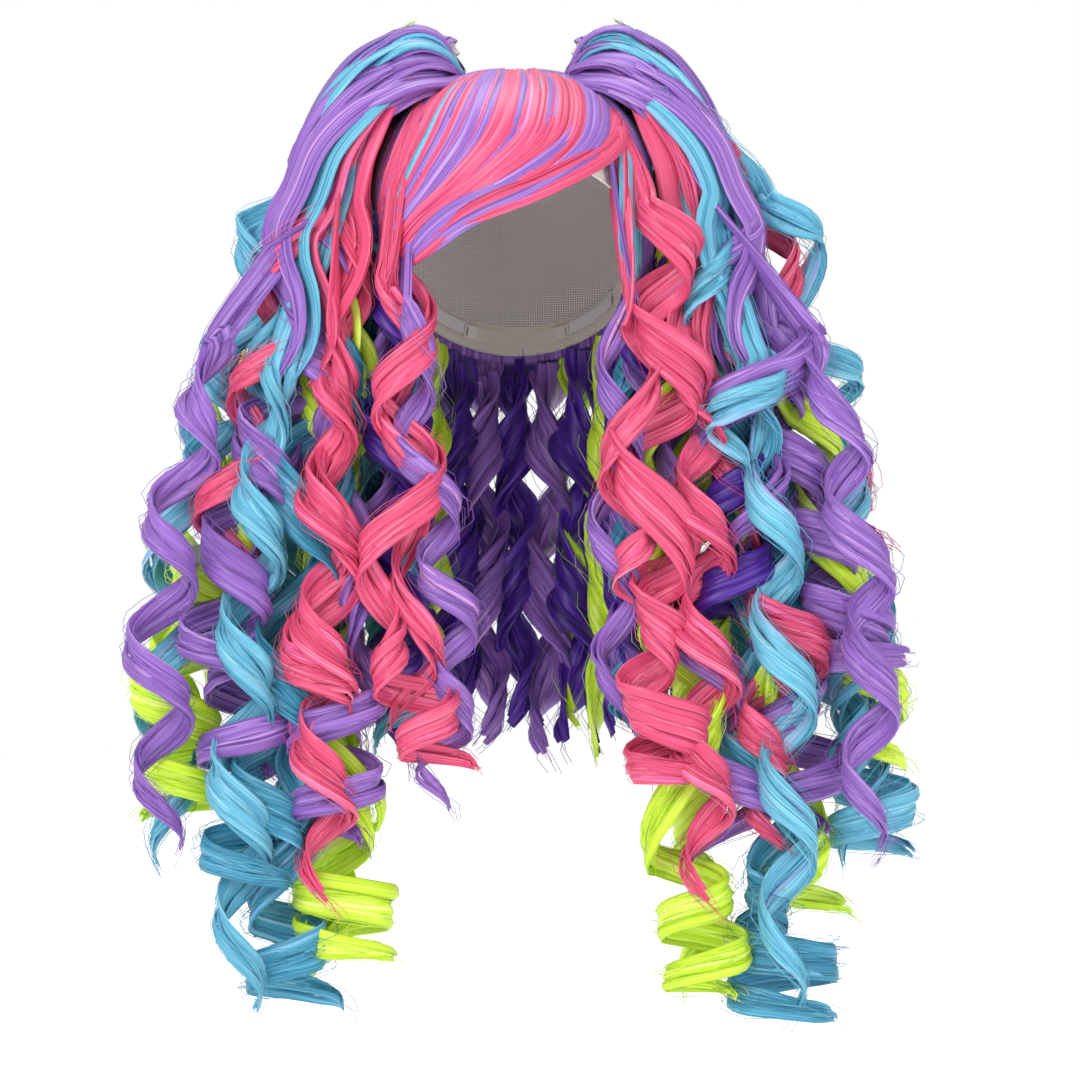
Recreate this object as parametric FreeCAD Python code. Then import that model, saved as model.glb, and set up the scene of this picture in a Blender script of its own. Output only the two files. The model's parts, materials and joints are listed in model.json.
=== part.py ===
"""Costume wig: a curly base wig on a netted cap, and two ponytails on spring claw clips.

Millimetres, +Z up, -Y towards the face, +X towards the wearer's left.
The origin is the inside of the cap's crown, where the top of the head bears.
Every soft lock is a plain closed solid of the space that its curls hold.
"""

import FreeCAD, Part
import math
import os
from FreeCAD import Matrix, Vector

# Cap, fitted to a head of 570 mm round.
HEAD_BREADTH = 152.0
HEAD_LENGTH = 190.0
CROWN_RISE = 72.0
NET_THICKNESS = 1.0
BAND_THICKNESS = 1.6
BAND_WIDTH = 18.0
FRONT_EDGE_Z = -50.0
NAPE_EDGE_Z = -160.0
LAYER_GAP = 0.4
WEFT_THICKNESS = 1.8
WEFT_HEIGHT = 2.5
WEFT_ROWS = 6
WEFT_SPACING = 18.0
HAIR_DEPTH = 6.0
FRINGE_BACK_Y = -22.0
FRINGE_LOW_Z = -130.0
FRINGE_HIGH_Z = -46.0

# Ear tabs, their bendable stays, and the adjusting straps at the nape.
TAB_FRONT_Y = -14.0
TAB_BACK_Y = 25.0
TAB_DROP = 32.0
STAY_WIDTH = 6.0
STAY_THICKNESS = 0.6
STRAP_WIDTH = 8.0
STRAP_THICKNESS = 0.8
STRAP_OUTER_X = 60.0
HOOK_X = 31.0
HOOK_LENGTH = 9.0
HOOK_TRAVEL = 12.0
HOOK_CLEARANCE = 0.9
HOOK_PLATE = 0.8
HOOK_LIP = 0.6
TAPE_THICKNESS = 0.6
LOOP_COUNT = 4

# Claw clip, in its own axes: u along the hinge pin, v across the jaws, w away from the head.
CLIP_TILT_DEG = 35.0
CLIP_LENGTH = 51.0
PIN_RADIUS = 1.5
PIN_HEIGHT = 17.0
PIN_CLEARANCE = 0.08
KNUCKLE_WALL = 1.8
KNUCKLE_WIDTH = 6.0
KNUCKLE_GAP = 0.5
JAW_RADIUS = 10.4
JAW_THICKNESS = 2.2
TOOTH_COUNT = 5
TOOTH_DEPTH = 7.0
LEVER_LENGTH = 10.5
LEVER_WIDTH = 24.0
SPRING_WIRE = 1.1
SPRING_TURNS = 7
TUFT_HEIGHT = 12.0
GRIP_GAP = 0.5
CLIP_END_GAP = 0.8
LEVER_LEAN_DEG = 42.0
JAW_OPENING_DEG = 20.0

# Ponytail base over the clip, and the hair that arches out of it.
BASE_WALL = 1.2
BASE_HEIGHT = 11.5
BASE_HALF_WIDTH = 18.5
COIL_THICKNESS = 2.0
COIL_ROWS = 3
CREST_U = -14.0
CREST_RISE = 3.2
ARCH_HALF_WIDTH = 27.5

# Hanging hair.
TAIL_TOP_Z = -86.0
TAIL_LENGTH = 476.0
TAIL_RADIUS = 20.0
TAIL_GAP = 2.0
BASE_HAIR_LENGTH = 285.0
FACE_LOCK_TOP_Z = -130.0
FACE_LOCK_RADIUS = 13.0
BACK_LOCK_RADIUS = 13.0

SIDES = {"left": 1, "right": -1}
UP = Vector(0, 0, 1)
FAR = 400.0

head_rx = HEAD_BREADTH / 2
head_ry = HEAD_LENGTH / 2
weft_in = NET_THICKNESS + LAYER_GAP / 2
weft_out = weft_in + WEFT_THICKNESS
hair_in = max(weft_out, BAND_THICKNESS + LAYER_GAP + STAY_THICKNESS) + 2 * LAYER_GAP
hair_out = hair_in + HAIR_DEPTH
hair_rx = head_rx + hair_out
hair_ry = head_ry + hair_out
edge_slope = (NAPE_EDGE_Z - FRONT_EDGE_Z) / (2 * head_ry)
CROWN_ARC_DEG = 50.0


def crown_radii(offset):
    """Radii of the flat crown arc and of the rounder side arc that meets it."""
    s = math.sin(math.radians(CROWN_ARC_DEG))
    c = math.cos(math.radians(CROWN_ARC_DEG))
    across, rise = head_rx + offset, CROWN_RISE + offset
    side = (rise - (1 - c) * across / s) / (c - (1 - c) * (1 - s) / s)
    return (across - (1 - s) * side) / s, side


def head_form(offset):
    """The head's shape grown by offset, closed well below the cap's edge."""
    crown, side = crown_radii(offset)
    across = head_rx + offset
    half = math.radians(CROWN_ARC_DEG / 2)
    full = math.radians(CROWN_ARC_DEG)
    rest = (full + math.pi / 2) / 2

    def on_crown(a):
        return Vector(crown * math.sin(a), 0, offset - crown + crown * math.cos(a))

    middle = Vector((crown - side) * math.sin(full), 0, on_crown(full).z - side * math.cos(full))

    def on_side(a):
        return middle + Vector(side * math.sin(a), 0, side * math.cos(a))

    shoulder = Vector(across, 0, middle.z)
    foot = Vector(across, 0, -FAR / 2)
    axis_foot = Vector(0, 0, -FAR / 2)
    edges = [
        Part.Arc(on_crown(0), on_crown(half), on_crown(full)).toShape(),
        Part.Arc(on_crown(full), on_side(rest), shoulder).toShape(),
        Part.LineSegment(shoulder, foot).toShape(),
        Part.LineSegment(foot, axis_foot).toShape(),
        Part.LineSegment(axis_foot, on_crown(0)).toShape(),
    ]
    solid = Part.Face(Part.Wire(edges)).revolve(Vector(0, 0, 0), UP, 360)
    oval = Matrix()
    oval.scale(1, (head_ry + offset) / across, 1)
    return solid.transformGeometry(oval)


_forms = {}


def form(offset):
    """head_form, made once for each offset."""
    key = round(offset, 4)
    if key not in _forms:
        _forms[key] = head_form(offset)
    return _forms[key]


def shell(inner, outer):
    return form(outer).cut(form(inner))


def block(x0, x1, y0, y1, z0, z1):
    """A box between two corners, in any order of each pair."""
    x0, x1 = sorted((x0, x1))
    y0, y1 = sorted((y0, y1))
    z0, z1 = sorted((z0, z1))
    return Part.makeBox(x1 - x0, y1 - y0, z1 - z0, Vector(x0, y0, z0))


def edge_z(y):
    """Height of the cap's slanting lower edge at y."""
    return FRONT_EDGE_Z + edge_slope * (y + head_ry)


def edge_slab(low, high, y0=-FAR, y1=FAR):
    """The space from low to high above the cap's slanting edge, between y0 and y1."""
    corners = [
        Vector(-FAR, y0, edge_z(y0) + low),
        Vector(-FAR, y1, edge_z(y1) + low),
        Vector(-FAR, y1, edge_z(y1) + high),
        Vector(-FAR, y0, edge_z(y0) + high),
    ]
    return Part.Face(Part.makePolygon(corners + corners[:1])).extrude(Vector(2 * FAR, 0, 0))


def export(name, *solids):
    """Writes one node as STEP, from one solid or a group of separate ones."""
    loose = []
    for shape in solids:
        loose += shape.Solids
    whole = loose[0] if len(loose) == 1 else Part.makeCompound(loose)
    whole.exportStep(os.path.join("parts", name + ".step"))
    print(f"{name}: {len(loose)} solid(s), {whole.Volume:.0f} mm3, valid {whole.isValid()}")


# ---------------------------------------------------------------- cap


def make_cap():
    above_band = edge_slab(BAND_WIDTH, FAR)
    export("crown_net", shell(0, NET_THICKNESS).common(above_band))
    band = shell(0, BAND_THICKNESS).common(edge_slab(0, BAND_WIDTH - LAYER_GAP / 2))
    gap = LAYER_GAP / 2
    export("front_band", band.common(block(-FAR, FAR, -FAR, TAB_FRONT_Y - gap, -FAR, FAR)))
    export("nape_band", band.common(block(-FAR, FAR, TAB_BACK_Y + gap, FAR, -FAR, FAR)))
    patch_depth = WEFT_SPACING
    patch = shell(weft_in, weft_in + NET_THICKNESS / 2)
    export("scalp_patch", patch.common(block(-FAR, FAR, -FAR, FAR, -patch_depth, FAR)))
    for row in range(WEFT_ROWS):
        top = -(2 + row) * WEFT_SPACING
        ring = shell(weft_in, weft_out).common(block(-FAR, FAR, TAB_FRONT_Y, FAR, top, top - WEFT_HEIGHT))
        export(f"weft_row_{row + 1}", ring.common(edge_slab(BAND_WIDTH + LAYER_GAP, FAR)))


def make_ear_tabs():
    middle_y = (TAB_FRONT_Y + TAB_BACK_Y) / 2
    half = (TAB_BACK_Y - TAB_FRONT_Y) / 2
    foot_z = edge_z(middle_y) - TAB_DROP + half
    tongue = edge_slab(-TAB_DROP + half, BAND_WIDTH - LAYER_GAP / 2, TAB_FRONT_Y, TAB_BACK_Y)
    tip = Part.makeCylinder(half, 2 * FAR, Vector(-FAR, middle_y, foot_z), Vector(1, 0, 0))
    outline = tongue.fuse(tip)
    stay_space = block(-FAR, FAR, middle_y - STAY_WIDTH / 2, middle_y + STAY_WIDTH / 2,
                       foot_z - half / 2, edge_z(middle_y) + BAND_WIDTH - 3)
    stay_in = BAND_THICKNESS + LAYER_GAP / 2
    for name, side in SIDES.items():
        own = block(0, side * FAR, -FAR, FAR, -FAR, FAR)
        export(f"{name}_ear_tab", shell(0, BAND_THICKNESS).common(outline).common(own))
        stay = shell(stay_in, stay_in + STAY_THICKNESS)
        export(f"{name}_ear_stay", stay.common(stay_space).common(own))


def on_band(x, inset, height):
    """A point inside the nape band, inset from it, at x and height above the slanting edge."""
    y = (head_ry - inset) * math.sqrt(1 - (x / (head_rx - inset)) ** 2)
    return Vector(x, y, edge_z(y) + height)


def make_straps():
    mid_height = BAND_WIDTH / 2
    strap_slab = edge_slab(mid_height - STRAP_WIDTH / 2, mid_height + STRAP_WIDTH / 2, 0, FAR)
    tape_slab = edge_slab(mid_height - STRAP_WIDTH / 2 - 1, mid_height + STRAP_WIDTH / 2 + 1, 0, FAR)
    tape_out = -LAYER_GAP / 2
    loop_in = tape_out - 2 * TAPE_THICKNESS
    tape_in = tape_out - TAPE_THICKNESS
    strap_out = loop_in - LAYER_GAP
    strap_in = strap_out - STRAP_THICKNESS
    tape_end = HOOK_X + HOOK_LENGTH / 2
    tape_start = HOOK_X - HOOK_LENGTH / 2 - HOOK_TRAVEL - 3
    for name, side in SIDES.items():
        tape = shell(tape_in, tape_out).common(tape_slab)
        tape = tape.common(block(side * tape_start, side * tape_end, 0, FAR, -FAR, FAR))
        pitch = (tape_end - tape_start) / LOOP_COUNT
        for i in range(LOOP_COUNT):
            x = tape_start + (i + 0.5) * pitch
            loop = shell(loop_in, tape_out).common(tape_slab)
            tape = tape.fuse(loop.common(block(side * (x - 1), side * (x + 1), 0, FAR, -FAR, FAR)))
        export(f"{name}_loop_tape", tape)
        strap = shell(strap_in, strap_out).common(strap_slab)
        strap_start = HOOK_X + HOOK_LENGTH / 2 + 1
        export(f"{name}_strap",
               strap.common(block(side * strap_start, side * STRAP_OUTER_X, 0, FAR, -FAR, FAR)))
        export(f"{name}_strap_hook", make_hook(side, HOOK_CLEARANCE - loop_in))


def hook_axes(side):
    """The hook's frame: its place, the way it slides, and the inward and upward directions."""
    place = on_band(side * HOOK_X, 0, BAND_WIDTH / 2)
    tightest = on_band(side * (HOOK_X - HOOK_TRAVEL), 0, BAND_WIDTH / 2)
    along = (tightest - place).normalize()
    inward = Vector(-place.x / head_rx**2, -place.y / head_ry**2, 0).normalize()
    inward = (inward - along * inward.dot(along)).normalize()
    return place, along, inward, along.cross(inward)


def make_hook(side, inset):
    """A flat hook: a slotted plate for the strap, and a lip turned back towards the loops."""
    end = HOOK_LENGTH / 2
    half = STRAP_WIDTH / 2
    lip_half = half / 2
    top = inset + HOOK_LIP + STRAP_THICKNESS + HOOK_PLATE
    plate = block(-end, end, top - HOOK_PLATE, top, -half, half)
    slot = block(-end + 1.2, -end + 2.6, 0, FAR, -half + 1.2, half - 1.2)
    bend = block(end - 1, end, inset, top, -lip_half, lip_half)
    lip = block(end - 4, end, inset, inset + HOOK_LIP, -lip_half, lip_half)
    hook = plate.cut(slot).fuse([bend, lip])
    place, along, inward, up = hook_axes(side)
    hook.Placement = FreeCAD.Placement(to_frame(along, inward, up, place))
    return hook


def to_frame(u, v, w, origin):
    """The matrix that carries local u, v, w coordinates to the wig's frame."""
    return Matrix(u.x, v.x, w.x, origin.x, u.y, v.y, w.y, origin.y, u.z, v.z, w.z, origin.z, 0, 0, 0, 1)


# ---------------------------------------------------------------- base wig's hair on the cap


def make_cap_hair():
    layer = shell(hair_in, hair_out)
    covered = layer.common(edge_slab(-LAYER_GAP * 8, FAR))
    gap = LAYER_GAP / 2
    export("crown_hair", covered.common(block(-FAR, FAR, FRINGE_BACK_Y + gap, FAR, -FAR, FAR)))
    front = layer.common(block(-FAR, FAR, -FAR, FRINGE_BACK_Y - gap, -FAR, FAR))
    drop = [
        Vector(-hair_rx - 9, -FAR, FRINGE_LOW_Z),
        Vector(hair_rx * 0.76, -FAR, FRINGE_HIGH_Z),
        Vector(hair_rx * 0.76, -FAR, FAR),
        Vector(-hair_rx - 9, -FAR, FAR),
    ]
    sweep = Part.Face(Part.makePolygon(drop + drop[:1])).extrude(Vector(0, 2 * FAR, 0))
    fringe = front.common(sweep)
    export("fringe", fringe)
    temple = front.common(block(-FAR, FAR, -hair_ry * 0.66, 0, FACE_LOCK_TOP_Z + LAYER_GAP, FAR))
    temple = temple.common(block(hair_rx * 0.76 + gap, FAR, -FAR, FAR, -FAR, FAR))
    export("left_temple_hair", temple)


# ---------------------------------------------------------------- claw clip and ponytail base


def clip_axes(side):
    """The clip's foot on the hair, the direction along its pin and the one away from the head."""
    crown, _ = crown_radii(hair_out)
    tilt = math.radians(CLIP_TILT_DEG)
    away = Vector(side * math.sin(tilt), 0, math.cos(tilt))
    along = Vector(side * math.cos(tilt), 0, -math.sin(tilt))
    foot = Vector(0, 0, hair_out - crown) + away * crown
    return foot, along, away


def on_clip(shape, side):
    """Carries a shape from the clip's axes to the wig: the right clip mirrors the left one."""
    foot, along, away = clip_axes(1)
    placed = shape.copy()
    placed.Placement = FreeCAD.Placement(to_frame(along, Vector(0, 1, 0), away, foot))
    if side < 0:
        placed = placed.mirror(Vector(0, 0, 0), Vector(1, 0, 0))
    return placed


def clip_point(side, u, w):
    foot, along, away = clip_axes(side)
    return foot + along * u + away * w


def along_u(radius, u0, u1):
    """A cylinder on the pin's axis from u0 to u1."""
    return Part.makeCylinder(radius, u1 - u0, Vector(u0, 0, PIN_HEIGHT), Vector(1, 0, 0))


knuckle_radius = PIN_RADIUS + PIN_CLEARANCE + KNUCKLE_WALL
spring_half = SPRING_WIRE * (SPRING_TURNS + 1) * 0.62 + 1.0
jaw_centre_w = PIN_HEIGHT - JAW_RADIUS + JAW_THICKNESS + 0.6
jaw_inner = JAW_RADIUS - JAW_THICKNESS
JAW_TIP_DEG = 225
JAW_TOP_DEG = 98
tuft_half = -jaw_inner * math.cos(math.radians(JAW_TIP_DEG)) - GRIP_GAP


def knuckles(jaw):
    """The u ranges of a jaw's own knuckles: the rear jaw's lie inside the front jaw's."""
    inner = spring_half + KNUCKLE_GAP
    if jaw == "front":
        inner += KNUCKLE_WIDTH + KNUCKLE_GAP
    return [(-inner - KNUCKLE_WIDTH, -inner), (inner, inner + KNUCKLE_WIDTH)]


def jaw_profile():
    """The curved plate's section in v and w, from beside the pin down to the teeth."""
    tip = math.radians(JAW_TIP_DEG)
    top = math.radians(JAW_TOP_DEG)

    def at(radius, angle):
        return Vector(0, radius * math.cos(angle), jaw_centre_w + radius * math.sin(angle))

    mid = (tip + top) / 2
    edges = [
        Part.Arc(at(JAW_RADIUS, top), at(JAW_RADIUS, mid), at(JAW_RADIUS, tip)).toShape(),
        Part.LineSegment(at(JAW_RADIUS, tip), at(jaw_inner, tip)).toShape(),
        Part.Arc(at(jaw_inner, tip), at(jaw_inner, mid), at(jaw_inner, top)).toShape(),
        Part.LineSegment(at(jaw_inner, top), at(JAW_RADIUS, top)).toShape(),
    ]
    return Part.Face(Part.Wire(edges))


def lever(half_width, start, stop):
    """A flat plate leaning out from the pin, from start to stop along its slope."""
    plate = block(-half_width, half_width, -JAW_THICKNESS / 2, JAW_THICKNESS / 2, start, stop)
    plate.rotate(Vector(0, 0, 0), Vector(1, 0, 0), LEVER_LEAN_DEG)
    plate.translate(Vector(0, 0, PIN_HEIGHT))
    return plate


def make_jaw(jaw):
    """The front jaw lies towards -v; the rear one is its mirror image with its teeth between."""
    half = CLIP_LENGTH / 2
    plate = jaw_profile().extrude(Vector(2 * half, 0, 0))
    plate.translate(Vector(-half, 0, 0))
    pitch = 2 * half / (TOOTH_COUNT + 0.5)
    tooth = pitch / 2
    shift = 0 if jaw == "front" else pitch / 2
    low = jaw_centre_w - JAW_RADIUS
    for i in range(TOOTH_COUNT + 1):
        u = -half + shift + i * pitch - tooth
        plate = plate.cut(block(u, u + tooth, -FAR, 0, low - 1, low + TOOTH_DEPTH))
    own = knuckles(jaw)
    reach = own[1][1]
    body = plate.fuse([lever(reach, 1.5, knuckle_radius + 2.2), lever(LEVER_WIDTH / 2, 1.5, LEVER_LENGTH)])
    body = body.cut(along_u(SPRING_WIRE * 3.2 + KNUCKLE_GAP, -spring_half, spring_half))
    other = knuckles("rear" if jaw == "front" else "front")
    for u0, u1 in other:
        body = body.cut(along_u(knuckle_radius + KNUCKLE_GAP, u0 - KNUCKLE_GAP, u1 + KNUCKLE_GAP))
    body = body.cut(along_u(knuckle_radius + KNUCKLE_GAP, reach + KNUCKLE_GAP / 2, half + 1))
    body = body.cut(along_u(knuckle_radius + KNUCKLE_GAP, -half - 1, -reach - KNUCKLE_GAP / 2))
    body = body.fuse([along_u(knuckle_radius, u0, u1) for u0, u1 in own])
    body = body.cut(along_u(PIN_RADIUS + PIN_CLEARANCE, -half - 1, half + 1)).removeSplitter()
    body = max(body.Solids, key=lambda s: s.Volume)
    if jaw == "rear":
        body = body.mirror(Vector(0, 0, 0), Vector(0, 1, 0))
    return body


def make_spring():
    """A torsion spring round the pin, with one leg up the inside of each lever."""
    mean = SPRING_WIRE * 2.6
    pitch = SPRING_WIRE * 1.2
    length = pitch * SPRING_TURNS
    helix = Part.makeHelix(pitch, length, mean)
    start = Vector(mean, 0, 0)
    section = Part.Wire(Part.makeCircle(SPRING_WIRE / 2, start, Vector(0, 1, 0)))
    coil = Part.Wire(helix.Edges).makePipeShell([section], True, True)
    coil.rotate(Vector(0, 0, 0), Vector(0, 1, 0), 90)
    coil.translate(Vector(-length / 2, 0, PIN_HEIGHT))
    leg_length = LEVER_LENGTH * 0.72
    leg_lean = math.radians(LEVER_LEAN_DEG - 3)
    legs = []
    for u, lean in ((-length / 2, 1), (length / 2, -1)):
        away = Vector(0, -lean * math.sin(leg_lean), math.cos(leg_lean))
        foot = Vector(u, lean * 0.3, PIN_HEIGHT + mean * 0.93)
        legs.append(Part.makeCylinder(SPRING_WIRE / 2, leg_length, foot, away))
    return coil, legs


def base_dome(grow):
    """The upper half of the oval dome over the clip's levers, grown by grow."""
    half = CLIP_LENGTH / 2 + CLIP_END_GAP + BASE_WALL * 1.9
    dome = Part.makeSphere(1)
    size = Matrix()
    size.scale(half + grow, BASE_HALF_WIDTH + grow, BASE_HEIGHT + grow)
    dome = dome.transformGeometry(size)
    dome.translate(Vector(0, 0, PIN_HEIGHT + 2))
    return dome.common(block(-FAR, FAR, -FAR, FAR, PIN_HEIGHT + 2, FAR))


def make_base():
    """The stitched base: a dome over the levers, with an ear at each end that holds the pin."""
    dome = base_dome(BASE_WALL).cut(base_dome(0))
    inside = CLIP_LENGTH / 2 + CLIP_END_GAP
    ears = []
    for s in (-1, 1):
        ear = block(s * inside, s * (inside + 2 * BASE_WALL), -4, 4, PIN_HEIGHT - 4, PIN_HEIGHT + 4)
        ears.append(ear)
    whole = dome.fuse(ears)
    whole = whole.cut(along_u(PIN_RADIUS, -FAR, FAR))
    return max(whole.Solids, key=lambda s: s.Volume)


def make_coil():
    """Rows of weft wound round the base, as separate oval rings."""
    ring = base_dome(BASE_WALL + LAYER_GAP + COIL_THICKNESS).cut(base_dome(BASE_WALL + LAYER_GAP))
    rows = []
    for i in range(COIL_ROWS):
        low = PIN_HEIGHT + 3 + i * 4
        rows.append(ring.common(block(-FAR, FAR, -FAR, FAR, low, low + 3)))
    return rows


def make_tuft(side):
    """The bunched hair on the cap that the jaws hold."""
    half = CLIP_LENGTH / 2 - 2
    tuft = block(-half, half, -tuft_half, tuft_half, -8, TUFT_HEIGHT)
    tall = [e for e in tuft.Edges if abs(e.Vertexes[0].Z - e.Vertexes[1].Z) > 1]
    tuft = tuft.makeFillet(tuft_half * 0.8, tall)
    return on_clip(tuft, side).cut(form(hair_out + LAYER_GAP))


def ellipse_wire(centre, normal, half_y, half_across):
    """An oval section whose long axis may be along Y, square to normal in the XZ plane."""
    across = Vector(0, 1, 0).cross(normal).normalize()
    points = []
    for i in range(4):
        a = math.pi / 2 * i
        points.append(centre + Vector(0, 1, 0) * half_y * math.cos(a) + across * half_across * math.sin(a))
    if half_y >= half_across:
        curve = Part.Ellipse(points[0], points[1], centre)
    else:
        curve = Part.Ellipse(points[1], points[0], centre)
    return Part.Wire(curve.toShape())


coil_top_w = PIN_HEIGHT + 2 + BASE_HEIGHT + BASE_WALL + 2 * LAYER_GAP + COIL_THICKNESS


def crest_point(side):
    """Where the arch's hair leaves the top of the base: the tail swings about it."""
    return clip_point(side, CREST_U, coil_top_w + CREST_RISE)


def make_arch(side):
    """The thick sweep of hair from the top of the base, out and down to where it divides."""
    arch_x = hair_rx + 2 * TAIL_GAP + ARCH_HALF_WIDTH
    over = clip_point(side, CREST_U + 18, coil_top_w + 2 * CREST_RISE)
    outer = clip_point(side, CLIP_LENGTH / 2 + 1, coil_top_w + 5.5)
    sections = [
        (crest_point(side), Vector(side * 0.85, 0, -0.45), 20, 3.6),
        (over, Vector(side * 0.80, 0, -0.60), 27, 5.6),
        (outer, Vector(side * 0.50, 0, -0.86), 33, 9.0),
        (Vector(side * (arch_x - 4), 0, TAIL_TOP_Z * 0.33), Vector(side * 0.2, 0, -1), 38, 19.5),
        (Vector(side * arch_x, 0, TAIL_TOP_Z * 0.73), Vector(0, 0, -1), 42, ARCH_HALF_WIDTH - 1),
        (Vector(side * arch_x, 0, TAIL_TOP_Z), Vector(0, 0, -1), 45, ARCH_HALF_WIDTH),
    ]
    wires = [ellipse_wire(p, n, a, b) for p, n, a, b in sections]
    return Part.makeLoft(wires, True, False)


# ---------------------------------------------------------------- hanging locks


def lock(points):
    """A tapered lock through level circles, each (x, y, z, radius)."""
    wires = [Part.Wire(Part.makeCircle(r, Vector(x, y, z), UP)) for x, y, z, r in points]
    return Part.makeLoft(wires, True, False)


# Share of the tail's length below its top, and the lock's radius there as a share of TAIL_RADIUS.
TAIL_LEVELS = [(0.0, 0.40), (0.11, 0.65), (0.24, 0.83), (0.45, 0.93), (0.66, 1.0), (0.83, 0.95), (1.0, 0.62)]
# How far the front, middle and back rows stand from the clip's plane, level by level.
TAIL_ROWS = {
    "front": [-26, -46, -60, -72, -80, -84, -86],
    "middle": [0, -8, -16, -28, -34, -36, -37],
    "back": [26, 32, 34, 26, 16, 12, 10],
}


def tail_lock(side, row, column, share):
    """One lock of a ponytail. column 0 is beside the neck and 2 is outermost."""
    points = []
    for (down, size), y in zip(TAIL_LEVELS, TAIL_ROWS[row]):
        r = TAIL_RADIUS * size
        spread = min(down, 0.7) / 0.7 * 8 * (column + 0.3)
        x = hair_rx + 3 * TAIL_GAP + r + column * (2 * r + TAIL_GAP) + spread
        if down == 1:
            x = abs(points[-1][0])
        points.append((side * x, y * TAIL_RADIUS / 20, TAIL_TOP_Z - down * TAIL_LENGTH * share, r))
    return lock(points)


# Each ponytail's locks by colour: (row, column, share of the full length).
TAIL_LOCKS = {
    "lavender": [("front", 2, 0.80), ("back", 0, 0.78)],
    "sky": [("front", 1, 1.0), ("middle", 2, 0.82)],
    "pink": [("front", 0, 0.86), ("back", 1, 0.80)],
    "yellow": [("middle", 0, 0.98), ("back", 2, 0.74)],
}


def fall(share):
    """Height at a share of the base wig's hanging length."""
    return FACE_LOCK_TOP_Z + 5 - BASE_HAIR_LENGTH * share


def make_base_locks():
    r = FACE_LOCK_RADIUS
    for name, side in SIDES.items():
        s = side * hair_rx
        h = hair_ry
        export(f"{name}_face_lock_pink", lock([
            (0.85 * s, -0.57 * h, FACE_LOCK_TOP_Z, 0.6 * r), (0.81 * s, -0.70 * h, fall(0.19), 0.9 * r),
            (0.77 * s, -0.84 * h, fall(0.44), r), (0.74 * s, -0.92 * h, fall(0.72), r),
            (0.65 * s, -0.95 * h, fall(1.0), 0.8 * r)]))
        export(f"{name}_face_lock_lavender", lock([
            (0.65 * s, -0.44 * h, fall(0.09), 0.5 * r), (0.58 * s, -0.55 * h, fall(0.33), 0.8 * r),
            (0.51 * s, -0.66 * h, fall(0.61), 0.9 * r), (0.49 * s, -0.70 * h, fall(0.9), 0.9 * r),
            (0.50 * s, -0.68 * h, fall(1.06), 0.7 * r)]))
        export(f"{name}_neck_lock_purple", lock([
            (0.81 * s, -0.19 * h, fall(0.05), 0.6 * r), (0.79 * s, -0.29 * h, fall(0.33), r),
            (0.77 * s, -0.42 * h, fall(0.61), r), (0.77 * s, -0.47 * h, fall(0.86), 0.8 * r)]))
        export(f"{name}_side_lock_teal", lock([
            (0.88 * s, 0.14 * h, fall(0.07), 0.6 * r), (0.86 * s, 0.11 * h, fall(0.33), r),
            (0.84 * s, 0.08 * h, fall(0.68), r), (0.81 * s, 0.04 * h, fall(0.96), 0.8 * r)]))


# The back locks by colour: each one's angle round the head from the middle of the back.
BACK_LOCKS = {"lavender": [-63, 0, 63], "purple": [-21, 21], "yellow": [-42, 42]}


def make_back_locks():
    r = BACK_LOCK_RADIUS
    for colour, angles in BACK_LOCKS.items():
        solids = []
        for i, degrees in enumerate(angles):
            a = math.radians(degrees)
            x = 0.86 * hair_rx * math.sin(a)
            y = 0.94 * hair_ry * math.cos(a)
            top = edge_z(y) - 10
            foot = fall(1.02 + 0.05 * math.cos(3 * a))
            solids.append(lock([
                (x, y, top, 0.6 * r), (x, y + 2, top + (foot - top) * 0.25, 0.95 * r),
                (x, y + 4, top + (foot - top) * 0.6, r), (x, y, foot, 0.7 * r)]))
        export(f"back_locks_{colour}", *solids)


def make_ponytails():
    parts = {f"claw_{jaw}_jaw": make_jaw(jaw) for jaw in ("front", "rear")}
    half = CLIP_LENGTH / 2 + CLIP_END_GAP + 2 * BASE_WALL
    parts["claw_pin"] = along_u(PIN_RADIUS, -half, half)
    coil, legs = make_spring()
    base, weft = make_base(), make_coil()
    for name, side in SIDES.items():
        for piece, shape in parts.items():
            export(f"{name}_{piece}", on_clip(shape, side))
        spring = coil
        for leg in legs:
            spring = spring.fuse(leg)
        export(f"{name}_claw_spring", on_clip(spring, side))
        export(f"{name}_tail_base", on_clip(base, side))
        export(f"{name}_tail_weft_coil", *[on_clip(ring, side) for ring in weft])
        export(f"{name}_grip_tuft", make_tuft(side))
        export(f"{name}_tail_arch", make_arch(side))
        for colour, places in TAIL_LOCKS.items():
            export(f"{name}_tail_{colour}_locks", *[tail_lock(side, *place) for place in places])


def main():
    os.makedirs("parts", exist_ok=True)
    make_cap()
    make_ear_tabs()
    make_straps()
    make_cap_hair()
    make_base_locks()
    make_back_locks()
    make_ponytails()
    print_joints()


def print_joints():
    """The places and directions that the moving parts turn about or slide along."""
    for name, side in SIDES.items():
        _, along, away = clip_axes(side)
        place, slide, _, _ = hook_axes(side)
        print(name, "pin", clip_point(side, 0, PIN_HEIGHT), "along", along, "away", away)
        print(name, "crest", crest_point(side), "hook", place, "slides", slide)
    print("each jaw opens", JAW_OPENING_DEG, "degrees and the hook slides", HOOK_TRAVEL, "mm")


main()
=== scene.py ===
"""A costume wig: smooth crown and fringe, curled locks, and two ponytails of ringlets on claw clips."""

import json
import math
import random

import bmesh
import bpy
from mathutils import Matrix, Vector
from mathutils.bvhtree import BVHTree


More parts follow.
